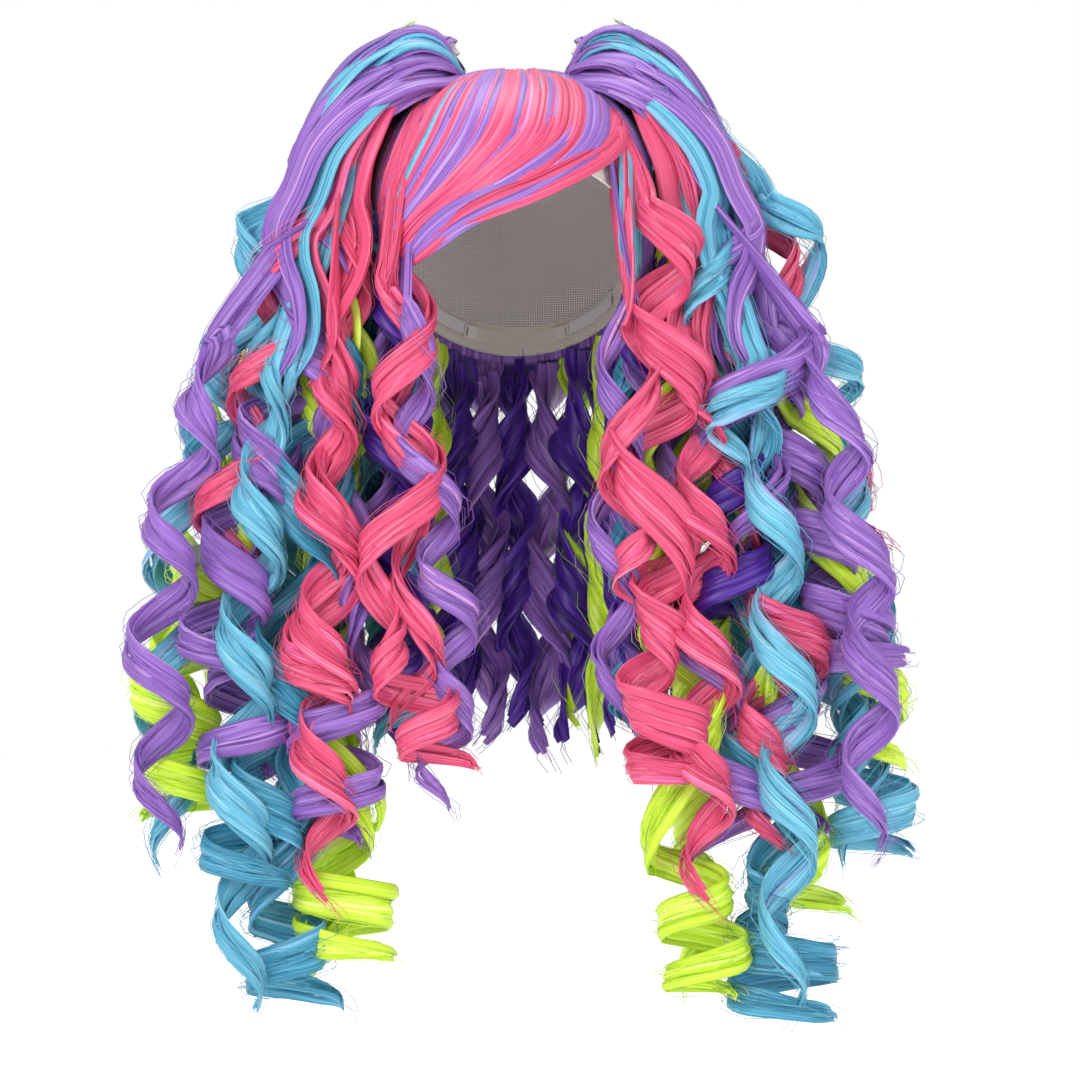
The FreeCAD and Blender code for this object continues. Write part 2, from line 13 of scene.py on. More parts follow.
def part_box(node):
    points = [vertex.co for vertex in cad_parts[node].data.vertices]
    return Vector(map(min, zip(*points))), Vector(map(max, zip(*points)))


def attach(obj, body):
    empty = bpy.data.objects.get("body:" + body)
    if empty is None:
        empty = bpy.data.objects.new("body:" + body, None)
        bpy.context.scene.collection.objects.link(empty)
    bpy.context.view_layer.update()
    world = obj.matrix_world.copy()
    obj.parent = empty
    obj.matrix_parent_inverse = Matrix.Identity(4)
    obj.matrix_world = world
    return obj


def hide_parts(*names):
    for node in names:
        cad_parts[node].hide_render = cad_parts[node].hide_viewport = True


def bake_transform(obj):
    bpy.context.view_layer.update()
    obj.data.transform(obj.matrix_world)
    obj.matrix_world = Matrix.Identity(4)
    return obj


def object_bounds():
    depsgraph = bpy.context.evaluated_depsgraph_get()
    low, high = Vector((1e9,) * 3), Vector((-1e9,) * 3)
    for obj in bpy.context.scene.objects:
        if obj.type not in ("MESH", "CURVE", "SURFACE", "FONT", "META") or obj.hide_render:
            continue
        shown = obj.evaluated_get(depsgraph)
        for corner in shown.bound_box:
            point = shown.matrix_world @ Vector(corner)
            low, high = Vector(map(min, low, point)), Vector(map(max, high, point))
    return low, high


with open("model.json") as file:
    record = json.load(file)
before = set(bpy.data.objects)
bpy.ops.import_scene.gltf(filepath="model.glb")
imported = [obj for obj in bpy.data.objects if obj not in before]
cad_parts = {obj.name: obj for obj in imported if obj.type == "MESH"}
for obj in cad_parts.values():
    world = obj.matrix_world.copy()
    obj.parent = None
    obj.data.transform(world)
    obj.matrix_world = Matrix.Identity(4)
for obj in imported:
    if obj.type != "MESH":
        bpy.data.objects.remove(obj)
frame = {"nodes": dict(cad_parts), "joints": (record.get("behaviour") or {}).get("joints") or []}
cad_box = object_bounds()
nodes = frame["nodes"]
joints = {j["name"]: j for j in frame["joints"]}

MM = 0.001
SIDES = {"left": 1, "right": -1}
WELD = 0.01 * MM

MATH, VECTOR, RANGE, MIX = "ShaderNodeMath", "ShaderNodeVectorMath", "ShaderNodeMapRange", "ShaderNodeMix"
NOISE, BUMP, RAMP = "ShaderNodeTexNoise", "ShaderNodeBump", "ShaderNodeValToRGB"
READ, STORE = "GeometryNodeInputNamedAttribute", "GeometryNodeStoreNamedAttribute"
CIRCLE, SWEEP = "GeometryNodeCurvePrimitiveCircle", "GeometryNodeCurveToMesh"
RESAMPLE, MOVE = "GeometryNodeResampleCurve", "GeometryNodeSetPosition"


# ---- small tools


def linear(hex_colour):
    """An sRGB hex colour as linear RGBA."""
    parts = [int(hex_colour[i:i + 2], 16) / 255 for i in (1, 3, 5)]
    return [c / 12.92 if c <= 0.04045 else ((c + 0.055) / 1.055) ** 2.4 for c in parts] + [1.0]


def connect(tree, node, inputs):
    """Sets a node's inputs, by name or place, and links those whose value is a socket."""
    for key, value in inputs.items():
        if isinstance(value, bpy.types.NodeSocket):
            tree.links.new(value, node.inputs[key])
        else:
            node.inputs[key].default_value = value


def add(tree, kind, *inputs, out=0, stops=(), **settings):
    """Adds a node with its settings, colour stops and inputs, and gives back one of its outputs.

    The inputs are one dict, by name or place, or else values in the node's own order.
    """
    node = tree.nodes.new(kind)
    for name, value in settings.items():
        setattr(node, name, value)
    if stops:
        elements = node.color_ramp.elements
        while len(elements) < len(stops):
            elements.new(0.5)
        for element, (place, colour) in zip(elements, stops):
            element.position, element.color = place, linear(colour)
    by_name = inputs and isinstance(inputs[0], dict)
    connect(tree, node, inputs[0] if by_name else dict(enumerate(inputs)))
    return node.outputs[out] if node.outputs else node


def link_object(name, data):
    piece = bpy.data.objects.new(name, data)
    bpy.context.scene.collection.objects.link(piece)
    return piece


def welded(node):
    """A CAD node's mesh with its loose triangles joined."""
    work = bmesh.new()
    work.from_mesh(nodes[node].data)
    bmesh.ops.remove_doubles(work, verts=work.verts, dist=WELD)
    return work


def mesh_of(work, name):
    mesh = bpy.data.meshes.new(name)
    work.to_mesh(mesh)
    work.free()
    return mesh


def new_material(name, **sockets):
    material = bpy.data.materials.new(name)
    material.use_nodes = True
    tree = material.node_tree
    shader = tree.nodes["Principled BSDF"]
    connect(tree, shader, {key.replace("_", " "): value for key, value in sockets.items()})
    return material, tree, shader


# ---- the fibre's material


STREAK_WIDTH, STREAK_LENGTH = 0.9 * MM, 130 * MM
CLUMP_WIDTH, CLUMP_LENGTH = 2.8 * MM, 420 * MM
CLUMP_SHARE = 0.38
STRAY_FROM, STRAY_TO = 0.74, 0.80


def lock_pattern(tree, width, length, seed):
    """Noise drawn out along the lock: width across the fibres and length along them."""
    fields = (add(tree, "ShaderNodeAttribute", attribute_name=name, out="Fac")
              for name in ("across", "along", "tint"))
    place = add(tree, "ShaderNodeCombineXYZ", *fields)
    place = add(tree, VECTOR, place, (1 / width, 1 / length, seed), operation="MULTIPLY")
    return add(tree, NOISE, {"Vector": place, "Scale": 1.0, "Detail": 2.5, "Roughness": 0.6}, out="Fac")


def fibre(name, deep, body, light, stray, stray_share=0.0):
    """Glossy heat-curled synthetic fibre: combed streaks, darker with painted shade and paler with painted
    highlight, and some fibres of another colour.

    Fibres are 0.08 mm thick; the streaks are drawn 0.9 mm wide, the finest that can be seen.
    """
    material, tree, shader = new_material(name, Specular_IOR_Level=0.42, Sheen_Weight=0.12,
                                          Sheen_Roughness=0.4)
    streak = lock_pattern(tree, STREAK_WIDTH, STREAK_LENGTH, 61.0)
    clump = lock_pattern(tree, CLUMP_WIDTH, CLUMP_LENGTH, 23.0)
    tint = add(tree, "ShaderNodeAttribute", attribute_name="tint", out="Fac")
    tone = add(tree, MIX, {0: CLUMP_SHARE, 2: streak, 3: clump})
    # The ramp's stops: deep is painted shade, body the dye itself, light is painted highlight, laid along random
    # streaks.
    colour = add(tree, RAMP, tone, stops=[(0.37, deep), (0.46, body), (0.53, body), (0.64, light)])
    mixed = add(tree, RANGE, add(tree, MATH, tint, 0.16, clump, operation="MULTIPLY_ADD"),
                STRAY_FROM - stray_share, STRAY_TO - stray_share)
    colour = add(tree, MIX, {0: mixed, 6: colour, 7: linear(stray)}, out=2, data_type="RGBA")
    shade = add(tree, RANGE, {"Value": tint, "To Min": 0.86, "To Max": 1.06})
    connect(tree, shader, {
        "Base Color": add(tree, VECTOR, {0: colour, "Scale": shade}, operation="SCALE"),
        "Roughness": add(tree, RANGE, {"Value": streak, "To Min": 0.30, "To Max": 0.52}),
        "Normal": add(tree, BUMP, {"Height": tone, "Strength": 0.8, "Distance": 0.5 * MM})})
    return material


# Each fibre: its name, then painted shade, the dye, painted highlight, and the colour of its stray fibres.
FIBRES = {
    "lavender": fibre("lavender_fibre", "#54307C", "#8C60B8", "#BC96DC", "#C894CC"),
    "pink": fibre("hot_pink_fibre", "#A01C44", "#E04C78", "#FA88A6", "#B878C4"),
    "sky": fibre("sky_blue_fibre", "#2F7E9E", "#62B4D2", "#A6DEEC", "#9A9CD4", 0.03),
    "teal": fibre("teal_blue_fibre", "#175A76", "#3A90B2", "#74C2D8", "#82B8DC", 0.02),
    "yellow": fibre("neon_yellow_fibre", "#96C810", "#D2F532", "#F2FF96", "#E0FF60"),
    "purple": fibre("deep_purple_fibre", "#1E0648", "#42168A", "#6C3CBC", "#6E44B4"),
    "mixed": fibre("mixed_rainbow_fibre", "#8C2C5E", "#C84C82", "#A47CCC", "#7E66B6", 0.16),
}


# ---- locks of hair


LOCK_INPUTS = (
    ("Ribbons", "Int", 5),
    ("Ridges", "Int", 10),
    ("Flatness", "Float", 0.30),
    ("Wander", "Float", 3.0 * MM),
    ("Stagger", "Float", 9.0 * MM),
    ("Step", "Float", 6.0 * MM),
    ("Loose Fibres", "Int", 16),
    ("Fibre Radius", "Float", 0.22 * MM),
    ("Seed", "Int", 1),
    ("Material", "Material", None),
)
DRIFT_SCALE, DRIFT_GAIN = 22.0, 2.6
RIBBON_REACH, FIBRE_REACH = 0.66, 1.05
GROOVES = (0.62, 1.38)
CUPPING = 0.16


def scatter(tree, geometry, count, seed, reach, wander, stagger):
    """Copies each spline count times, side by side across the lock and loosely wandering along it."""
    copies = add(tree, "GeometryNodeDuplicateElements", {"Geometry": geometry, "Amount": count},
                 domain="SPLINE")
    order = copies.node.outputs["Duplicate Index"]
    last = add(tree, MATH, add(tree, MATH, count, 1, operation="SUBTRACT"), 1, operation="MAXIMUM")
    rank = add(tree, RANGE, order, 0.0, last, -1.0, 1.0)
    spline = add(tree, "GeometryNodeCurveOfPoint", out="Curve Index")

    def chance(low, high, shift):
        """A random number for each copy."""
        return add(tree, "FunctionNodeRandomValue",
                   {2: low, 3: high, "ID": spline, "Seed": add(tree, MATH, seed, shift)}, out=1)

    tangent = add(tree, "GeometryNodeInputTangent")
    outward = add(tree, READ, "out", data_type="FLOAT_VECTOR")
    wide = add(tree, VECTOR, tangent, outward, operation="CROSS_PRODUCT")
    wide = add(tree, VECTOR, wide, operation="NORMALIZE")
    half = add(tree, READ, "half")
    breadth = add(tree, MATH, half, reach, operation="MULTIPLY")
    position = add(tree, "GeometryNodeInputPosition")
    drift = add(tree, NOISE, {"Vector": position, "Scale": DRIFT_SCALE, "Detail": 1.0, "W": chance(0, 60, 7)},
                out="Color", noise_dimensions="4D")
    strength = add(tree, MATH, wander, DRIFT_GAIN, operation="MULTIPLY")
    strength = add(tree, MATH, strength, add(tree, READ, "loose"), operation="MULTIPLY")
    offset = (0, 0, 0)
    for way, size, share in (
            (wide, breadth, add(tree, MATH, rank, chance(-0.25, 0.25, 3))),
            (outward, half, chance(-0.22, 0.22, 5)),
            (add(tree, VECTOR, drift, (-0.5, -0.5, -0.5)), strength, 1.0),
            (tangent, stagger, chance(-1, 1, 9))):
        length = add(tree, MATH, share, size, operation="MULTIPLY")
        offset = add(tree, VECTOR, way, length, offset, operation="MULTIPLY_ADD")
    kept = add(tree, STORE, {"Geometry": copies, "Name": "tint", "Value": chance(0, 1, 11)})
    kept = add(tree, STORE, {"Geometry": kept, "Name": "wide", "Value": wide}, data_type="FLOAT_VECTOR")
    moved = add(tree, MOVE, {"Geometry": kept, "Offset": offset})
    across = add(tree, READ, "wide", data_type="FLOAT_VECTOR")
    return add(tree, "GeometryNodeSetCurveNormal", {"Curve": moved, "Normal": across}, mode="FREE")


def lock_tree():
    """Turns the guide lines of a lock into overlapping grooved ribbons and a few loose fibres."""
    tree = bpy.data.node_groups.new("lock_of_hair", "GeometryNodeTree")
    tree.interface.new_socket("Geometry", in_out="INPUT", socket_type="NodeSocketGeometry")
    for name, kind, value in LOCK_INPUTS:
        socket = tree.interface.new_socket(name, in_out="INPUT", socket_type="NodeSocket" + kind)
        if value is not None:
            socket.default_value = value
    tree.interface.new_socket("Geometry", in_out="OUTPUT", socket_type="NodeSocketGeometry")
    given = add(tree, "NodeGroupInput").node.outputs
    guides = add(tree, "GeometryNodeMeshToCurve", {"Mesh": given["Geometry"]})
    guides = add(tree, "GeometryNodeCurveSplineType", {"Curve": guides}, spline_type="CATMULL_ROM")

    fine = add(tree, RESAMPLE, {"Curve": guides, "Length": given["Step"]}, mode="LENGTH")
    ribbons = scatter(tree, fine, given["Ribbons"], given["Seed"], RIBBON_REACH,
                      given["Wander"], given["Stagger"])
    share = add(tree, RANGE, given["Ribbons"], 1.0, 5.0, 1.0, 0.40)
    width = add(tree, MATH, add(tree, READ, "half"), share, operation="MULTIPLY")
    ribbons = add(tree, STORE, {"Geometry": ribbons, "Name": "ribbon_half", "Value": width})
    ribbons = add(tree, "GeometryNodeSetCurveRadius", {"Curve": ribbons, "Radius": width})
    oval = add(tree, CIRCLE, {"Resolution": given["Ridges"], "Radius": 1.0})
    x, y = add(tree, "ShaderNodeSeparateXYZ", add(tree, "GeometryNodeInputPosition")).node.outputs[:2]
    groove = add(tree, "FunctionNodeRandomValue", dict(zip((2, 3, "Seed"), (*GROOVES, given["Seed"]))), out=1)
    height = add(tree, MATH, y, given["Flatness"], operation="MULTIPLY")
    height = add(tree, MATH, height, groove, operation="MULTIPLY")
    cup = add(tree, MATH, add(tree, MATH, x, x, operation="MULTIPLY"), CUPPING, height, operation="MULTIPLY_ADD")
    oval = add(tree, STORE, {"Geometry": oval, "Name": "section", "Value": x})
    oval = add(tree, MOVE, {"Geometry": oval, "Position": add(tree, "ShaderNodeCombineXYZ", x, cup)})
    ribbon_half = add(tree, READ, "ribbon_half")
    body = add(tree, SWEEP, {"Curve": ribbons, "Profile Curve": oval, "Scale": ribbon_half, "Fill Caps": True})
    across = add(tree, MATH, add(tree, READ, "section"), ribbon_half, operation="MULTIPLY")
    body = add(tree, STORE, {"Geometry": body, "Name": "across", "Value": across})

    def times(name, factor):
        return add(tree, MATH, given[name], factor, operation="MULTIPLY")

    coarse = add(tree, RESAMPLE, {"Curve": guides, "Length": times("Step", 2.0)}, mode="LENGTH")
    loose = scatter(tree, coarse, given["Loose Fibres"], add(tree, MATH, given["Seed"], 40), FIBRE_REACH,
                    times("Wander", 1.7), times("Stagger", 2.0))
    wire = add(tree, CIRCLE, {"Resolution": 3, "Radius": given["Fibre Radius"]})
    strands = add(tree, SWEEP, {"Curve": loose, "Profile Curve": wire, "Scale": 1.0, "Fill Caps": True})
    strands = add(tree, STORE, {"Geometry": strands, "Name": "across", "Value": add(tree, READ, "tint")})

    both = add(tree, "GeometryNodeJoinGeometry").node
    for part in (strands, body):
        tree.links.new(part, both.inputs[0])
    smooth = add(tree, "GeometryNodeSetShadeSmooth", both.outputs[0])
    whole = add(tree, "GeometryNodeRealizeInstances", smooth)
    done = add(tree, "GeometryNodeSetMaterial", {"Geometry": whole, "Material": given["Material"]})
    add(tree, "NodeGroupOutput", done)
    return tree


LOCK_TREE = lock_tree()
LOCK_SOCKETS = {s.name: s.identifier for s in LOCK_TREE.interface.items_tree if s.in_out == "INPUT"}


class Guide:
    """One lock's guide line: its points, its outward direction and half its width, in millimetres."""

    def __init__(self, points, outs, half, loose_from=0.0, tip=0.30, tip_share=0.16):
        self.points = [Vector(p) for p in points]
        self.outs = smooth_vectors([Vector(o) for o in outs])
        self.runs = [0.0]
        for a, b in zip(self.points, self.points[1:]):
            self.runs.append(self.runs[-1] + (b - a).length)
        shares = [r / self.runs[-1] for r in self.runs]
        self.half = [half * end_shape(s, tip, tip_share) for s in shares]
        self.loose = [max(0.0, min(1.0, (s - loose_from) * 4)) for s in shares]


def end_shape(share, tip, tip_share):
    """How a lock's width grows from its root and closes to tip over its last stretch."""
    root = 0.55 + 0.45 * min(1.0, share / 0.12)
    closing = max(0.0, (share - 1 + tip_share) / tip_share)
    return root * (1 - (1 - tip) * closing ** 1.6)


def smooth_vectors(vectors, passes=2):
    for _ in range(passes):
        before = vectors
        vectors = []
        for i, v in enumerate(before):
            near = before[max(0, i - 1)] + v * 2 + before[min(len(before) - 1, i + 1)]
            vectors.append(near.normalized() if near.length > 1e-6 else v)
    return vectors


def store_fields(mesh, fields):
    for key, values in fields.items():
        mesh.attributes.new(key, "FLOAT", "POINT").data.foreach_set("value", values)


def make_locks(name, guides, colour, body, seed, replaces=(), **options):
    """Builds one piece from its guide lines and lets it ride on its body."""
    verts, edges, outs = [], [], []
    fields = {"half": [], "along": [], "loose": []}
    for guide in guides:
        start = len(verts)
        verts += [p * MM for p in guide.points]
        edges += [(i, i + 1) for i in range(start, len(verts) - 1)]
        fields["half"] += [h * MM for h in guide.half]
        fields["along"] += [r * MM for r in guide.runs]
        fields["loose"] += guide.loose
        outs += guide.outs
    mesh = bpy.data.meshes.new(name + "_guides")
    mesh.from_pydata(verts, edges, [])
    store_fields(mesh, fields)
    outward = mesh.attributes.new("out", "FLOAT_VECTOR", "POINT").data
    outward.foreach_set("vector", [c for o in outs for c in o])
    carrier = link_object(name + "_guides", mesh)
    modifier = carrier.modifiers.new("locks", "NODES")
    modifier.node_group = LOCK_TREE
    for key, value in {"Seed": seed, "Material": FIBRES[colour], **options}.items():
        modifier[LOCK_SOCKETS[key.replace("_", " ")]] = value
    depsgraph = bpy.context.evaluated_depsgraph_get()
    made = bpy.data.meshes.new_from_object(carrier.evaluated_get(depsgraph))
    bpy.data.objects.remove(carrier)
    for extra in ("wide", "out", "section", "ribbon_half", "half", "loose"):
        if extra in made.attributes:
            made.attributes.remove(made.attributes[extra])
    piece = link_object(name, made)
    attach(piece, body)
    if replaces:
        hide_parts(*replaces)


def make_layers(name, layers, body, seed, replaces=None, **options):
    """Builds one piece for each colour's guide lines; the name has a gap for the colour."""
    for i, (colour, guides) in enumerate(layers.items()):
        if guides:
            replaced = (replaces or {}).get(colour, ())
            make_locks(name.format(colour), guides, colour, body, seed + i, replaced, **options)


# ---- the shape of the crown


def surface_of(*names):
    """A tree of the outer surface of some CAD nodes, for laying hair on them."""
    verts, faces = [], []
    for name in names:
        mesh = nodes[name].data
        start = len(verts)
        verts += [v.co.copy() for v in mesh.vertices]
        faces += [[start + i for i in p.vertices] for p in mesh.polygons]
    return BVHTree.FromPolygons(verts, faces)


CROWN = surface_of("crown_hair", "fringe", "left_temple_hair")
CENTRE = Vector((0, 0, -0.065))
FRONT_CENTRE = Vector((0, 0, -0.07))
OUTSIDE = 0.4  # metres: far enough out to look back at the crown from


def on_crown(down, turn, lift=0.0):
    """A point on the crown, in mm: down from the top and turn round from the back, in degrees."""
    d, t = math.radians(down), math.radians(turn)
    way = Vector((math.sin(d) * math.sin(t), math.sin(d) * math.cos(t), math.cos(d)))
    hit = CROWN.ray_cast(CENTRE + way * OUTSIDE, -way)[0]
    if hit is None or (hit - CENTRE).dot(way) < 0.03:
        return None, way
    return hit / MM + way * lift, way


def on_front(x, z, lift=0.0):
    """The front of the crown seen from the face at x, z in mm."""
    hit = CROWN.ray_cast(Vector((x * MM, -OUTSIDE, z * MM)), Vector((0, 1, 0)))[0]
    if hit is None or hit.y > 0.03:
        return None, None
    away = (hit - FRONT_CENTRE).normalized()
    return hit / MM + away * lift, away


def met(hits):
    """The points and outward directions of the hits that met the crown."""
    found = [hit for hit in hits if hit[0] is not None]
    return [p for p, _ in found], [way for _, way in found]


# ---- ringlets


TURN_STEPS = 6


def wave(turns, depth, hand):
    """Points round a ringlet: it bears from one turning point to the next, in front and behind by turns."""
    points, outs = [], []
    for k, ((x0, z0), (x1, z1)) in enumerate(zip(turns, turns[1:])):
        reach = abs(x1 - x0) / 2
        radius = min(17.0, max(7.0, reach * 0.62))
        way = hand if k % 2 == 0 else -hand
        for step in range(0 if k == 0 else 1, TURN_STEPS + 1):
            s = step / TURN_STEPS
            a = math.pi * s
            z = z0 + (z1 - z0) * s
            y = depth(z) - way * radius * math.sin(a)
            points.append((x0 + (x1 - x0) * (1 - math.cos(a)) / 2, y, z))
            sign = 1 if x0 > x1 else -1
            outs.append(Vector((sign * math.cos(a) / reach, -way * math.sin(a) / radius, 0.0)).normalized())
    return points, outs


def fall_between(y_top, y_foot, z_top, z_foot):
    """Depth as a function of height, easing from the root's to the tip's."""

    def depth(z):
        s = max(0.0, min(1.0, (z - z_top) / (z_foot - z_top)))
        return y_top + (y_foot - y_top) * s ** 0.75

    return depth


CREST_STEP = 3
CLIP_ROOM = 23  # mm from the crest in to where the hair leaves the base


def arch_root(side, lane, layer, first=CREST_STEP):
    """The first points of a ponytail's lock: out of the base, over the crest and down the shoulder.

    The hair that swings starts at the crest, and the hair wound over the clip starts below it, at first=0.
    lane runs from -1, nearest the face, to 1, nearest the back; layer from 0, beside the head, to 1, outermost.
    """
    crest = Vector(joints[("left" if side > 0 else "right") + "_tail_swing"]["pos_m"]) / MM
    x0 = abs(crest.x)
    over = math.cos(lane * 1.5)
    points = [
        (x0 - CLIP_ROOM, lane * 10, crest.z - 27 + 9 * over),
        (x0 - 15, lane * 22, crest.z - 33 + 28 * over + 2 * layer),
        (x0 - 1, lane * 31, crest.z - 38 + 37 * over + 5 * layer),
        (x0 + 14, lane * 37, crest.z - 48 + 39 * over + 10 * layer),
        (x0 + 24 + 15 * layer, lane * 41, crest.z - 64 + 33 * over + 14 * layer),
        (x0 + 32 + 29 * layer, lane * 43, crest.z - 86 + 20 * over + 14 * layer),
        (x0 + 35 + 38 * layer, lane * 41, crest.z - 108 + 10 * layer),
    ]
    middle = Vector((side * (x0 + 8), 0, crest.z - 80))
    placed = [Vector((side * x, y, z)) for x, y, z in points[first:]]
    outs = [(p - middle).normalized() for p in placed]
    return placed, outs


LANE_WIDTH = 30
LONGEST_STRAIGHT, HIDDEN_WAVE = 90, 52


def ringlet(side, lane, layer, turns, y_foot, half, hand):
    """A ponytail's ringlet, from the base to its tip, with hidden waves down to its first turn."""
    points, outs = arch_root(side, lane, layer)
    top = points[-1]
    first = turns[0]
    if top.z - first[1] > LONGEST_STRAIGHT:
        count = max(1, round((top.z - first[1]) / HIDDEN_WAVE))
        bow = 9 if turns[1][0] > first[0] else -9
        extra = []
        for i in range(1, count):
            s = i / count
            flip = 1 if (count - i) % 2 else -1
            extra.append((top.x + (first[0] - top.x) * s + bow * flip, top.z + (first[1] - top.z) * s))
        turns = extra + turns
    depth = fall_between(lane * LANE_WIDTH, y_foot, top.z, turns[-1][1])
    for _ in range(2):
        if turns[0][1] > points[-1].z - 12:
            points, outs = points[:-1], outs[:-1]
    more, ways = wave(turns, depth, hand)
    return Guide(points + more, outs + ways, half, 0.12)


# Turning points of the ringlets, (x, z), in mm: (lane, layer, depth at the tip, half width, hand, turns).
RINGLETS = {
    "right": {
        "lavender": [
            (-0.75, 0.95, -70, 12.5, 1, [(-132, -45), (-102, -111), (-138, -147), (-105, -186), (-166, -212),
             (-140, -249), (-186, -276), (-150, -315), (-200, -336), (-154, -358)]),
            (-0.2, 0.7, -78, 10.5, -1, [(-96, -339), (-81, -372), (-131, -400), (-82, -424), (-130, -440),
             (-92, -458)]),
            (0.1, 0.8, -66, 10, 1, [(-152, -335), (-182, -366), (-136, -386), (-188, -405), (-146, -420)]),
        ],
        "sky": [
            (-0.25, 1.0, -34, 9.5, -1, [(-135, -69), (-168, -92), (-150, -135), (-188, -171), (-170, -205),
             (-198, -236), (-160, -252)]),
            (0.05, 0.9, -52, 7, 1, [(-138, -72), (-158, -105), (-140, -141), (-160, -175), (-142, -205)]),
        ],
        "teal": [
            (-0.9, 0.25, -76, 12.5, -1, [(-84, -99), (-112, -155), (-96, -196), (-144, -237), (-110, -291),
             (-154, -345), (-122, -390), (-168, -424), (-128, -452), (-186, -464), (-134, -484)]),
            (-0.4, 0.3, -70, 12, 1, [(-112, -330), (-140, -395), (-120, -445), (-158, -502), (-114, -519),
             (-160, -540), (-103, -556)]),
        ],
        "pink": [
            (-0.8, 0.45, -58, 9.5, 1, [(-100, -62), (-129, -80), (-154, -123), (-136, -159), (-170, -186),
             (-150, -225), (-191, -261), (-162, -292)]),
            (-0.95, 0.1, -88, 10, -1, [(-100, -205), (-116, -246), (-92, -297), (-137, -348), (-98, -369),
             (-121, -398)]),
        ],
        "yellow": [
            (-0.5, 0.5, -48, 10.5, -1, [(-102, -63), (-122, -99), (-108, -141), (-128, -183), (-114, -215),
             (-170, -240), (-158, -282), (-206, -302), (-172, -330), (-230, -369), (-180, -394), (-226, -412),
             (-182, -432), (-224, -444)]),
            (-0.3, 0.1, -60, 12, 1, [(-104, -300), (-124, -380), (-88, -452), (-131, -487), (-77, -499),
             (-128, -516), (-74, -528)]),
        ],
    },
    "left": {
        "lavender": [
            (-0.85, 0.9, -64, 12.5, -1, [(112, -58), (146, -96), (120, -129), (176, -165), (110, -213),
             (160, -246), (128, -282)]),
            (-0.45, 0.95, -50, 12, 1, [(150, -150), (176, -190), (146, -210), (186, -243), (168, -266),
             (206, -284), (175, -309), (224, -335), (186, -347), (235, -349)]),
            (-0.6, 0.2, -72, 11, 1, [(96, -330), (134, -372), (103, -410), (152, -436), (106, -470)]),
            (0.0, 0.6, -60, 11, -1, [(144, -330), (184, -368), (146, -398), (200, -416), (150, -436),
             (186, -452)]),
        ],
        "sky": [
            (-0.1, 1.0, -24, 9, 1, [(150, -66), (186, -98), (163, -157), (209, -181), (188, -206)]),
            (-1.0, 0.55, -76, 8.5, -1, [(84, -50), (129, -105), (102, -141), (160, -184), (116, -208),
             (140, -236)]),
            (0.1, 0.9, -44, 12, -1, [(166, -350), (216, -387), (192, -424), (241, -436), (190, -455),
             (238, -467)]),
        ],
        "teal": [
            (-0.3, 0.6, -40, 11, 1, [(135, -190), (168, -240), (148, -273), (176, -300), (156, -322),
             (194, -338)]),
            (-0.7, 0.4, -66, 12, -1, [(150, -340), (124, -400), (168, -448), (141, -486), (162, -502),
             (132, -522), (192, -532), (127, -548), (190, -564)]),
        ],
        "pink": [
            (-0.15, 0.95, -18, 9, -1, [(140, -70), (172, -105), (156, -150), (184, -200), (196, -234),
             (216, -250), (198, -266), (223, -278)]),
            (-0.5, 0.5, -74, 9.5, 1, [(140, -316), (187, -343), (136, -385), (160, -411), (140, -440),
             (160, -462)]),
        ],
        "yellow": [
            (-0.3, 0.9, -42, 10, -1, [(166, -192), (196, -219), (170, -255), (182, -279), (212, -315),
             (196, -351), (236, -375), (210, -398), (235, -414)]),
            (-0.9, 0.15, -80, 9.5, -1, [(76, -327), (122, -375), (100, -425), (80, -465), (126, -489),
             (88, -507), (137, -521), (91, -540), (128, -548)]),
            (-0.2, 0.7, -58, 10, 1, [(150, -400), (154, -429), (186, -465), (156, -488), (200, -500)]),
        ],
    },
}


# The ringlets at the back, alike on both sides: x runs outwards, and the hand is for the left side.
BACK_RINGLETS = {
    "lavender": (0.55, 0.9, 18, 12, 1, [(150, -100), (122, -150), (165, -195), (130, -240), (172, -290),
        (135, -330), (170, -372), (128, -400)]),
    "sky": (0.85, 0.7, 34, 11, -1, [(128, -110), (104, -160), (140, -205), (110, -250), (150, -300),
        (112, -345), (152, -392), (118, -420)]),
    "teal": (0.4, 0.5, 8, 12, 1, [(108, -120), (138, -170), (108, -215), (146, -265), (112, -315), (150, -362),
        (116, -405), (150, -440)]),
    "pink": (0.7, 0.4, 24, 12, -1, [(100, -130), (128, -180), (98, -228), (132, -280), (98, -330), (130, -376),
        (100, -404)]),
    "yellow": (0.95, 0.95, 30, 11, 1, [(150, -110), (176, -160), (150, -210), (188, -260), (152, -310),
        (190, -355), (156, -396)]),
}


def alternating(turns):
    """The turning points with any that isn't a turn left out."""
    kept = [turns[0]]
    for point in turns[1:]:
        if len(kept) > 1 and (kept[-1][0] - kept[-2][0]) * (point[0] - kept[-1][0]) > 0:
            kept[-1] = point
        else:
            kept.append(point)
    return kept


def filler(side, line, rng, half):
    """A ringlet down the middle line of one of a ponytail's locks, hidden among the others."""
    lane = max(-1.0, min(1.0, line[0][0].y / LANE_WIDTH))
    points, outs = arch_root(side, lane, rng.uniform(0.35, 0.8))
    inner = ringlet_down(line[1:], rng, half)
    return Guide(points + inner.points, outs + inner.outs, half, 0.12)


def make_tails():
    for name, side in SIDES.items():
        for i, (colour, specs) in enumerate(RINGLETS[name].items()):
            lane, layer, y_foot, half, hand, turns = BACK_RINGLETS[colour]
            behind = (lane, layer, y_foot, half, side * hand, [(side * x, z) for x, z in turns])
            guides = [ringlet(side, lane, layer, alternating(turns), y_foot, half, hand)
                      for lane, layer, y_foot, half, hand, turns in [*specs, behind]]
            rng = random.Random(120 + i)
            replaces = [f"{name}_tail_{colour}_locks"] if colour != "teal" else []
            guides += [filler(side, line, rng, 10.5) for node in replaces for line in spines(node)]
            make_locks(f"{name}_tail_{colour}_ringlets", guides, colour, f"{name}_tail", 11 + i, replaces)


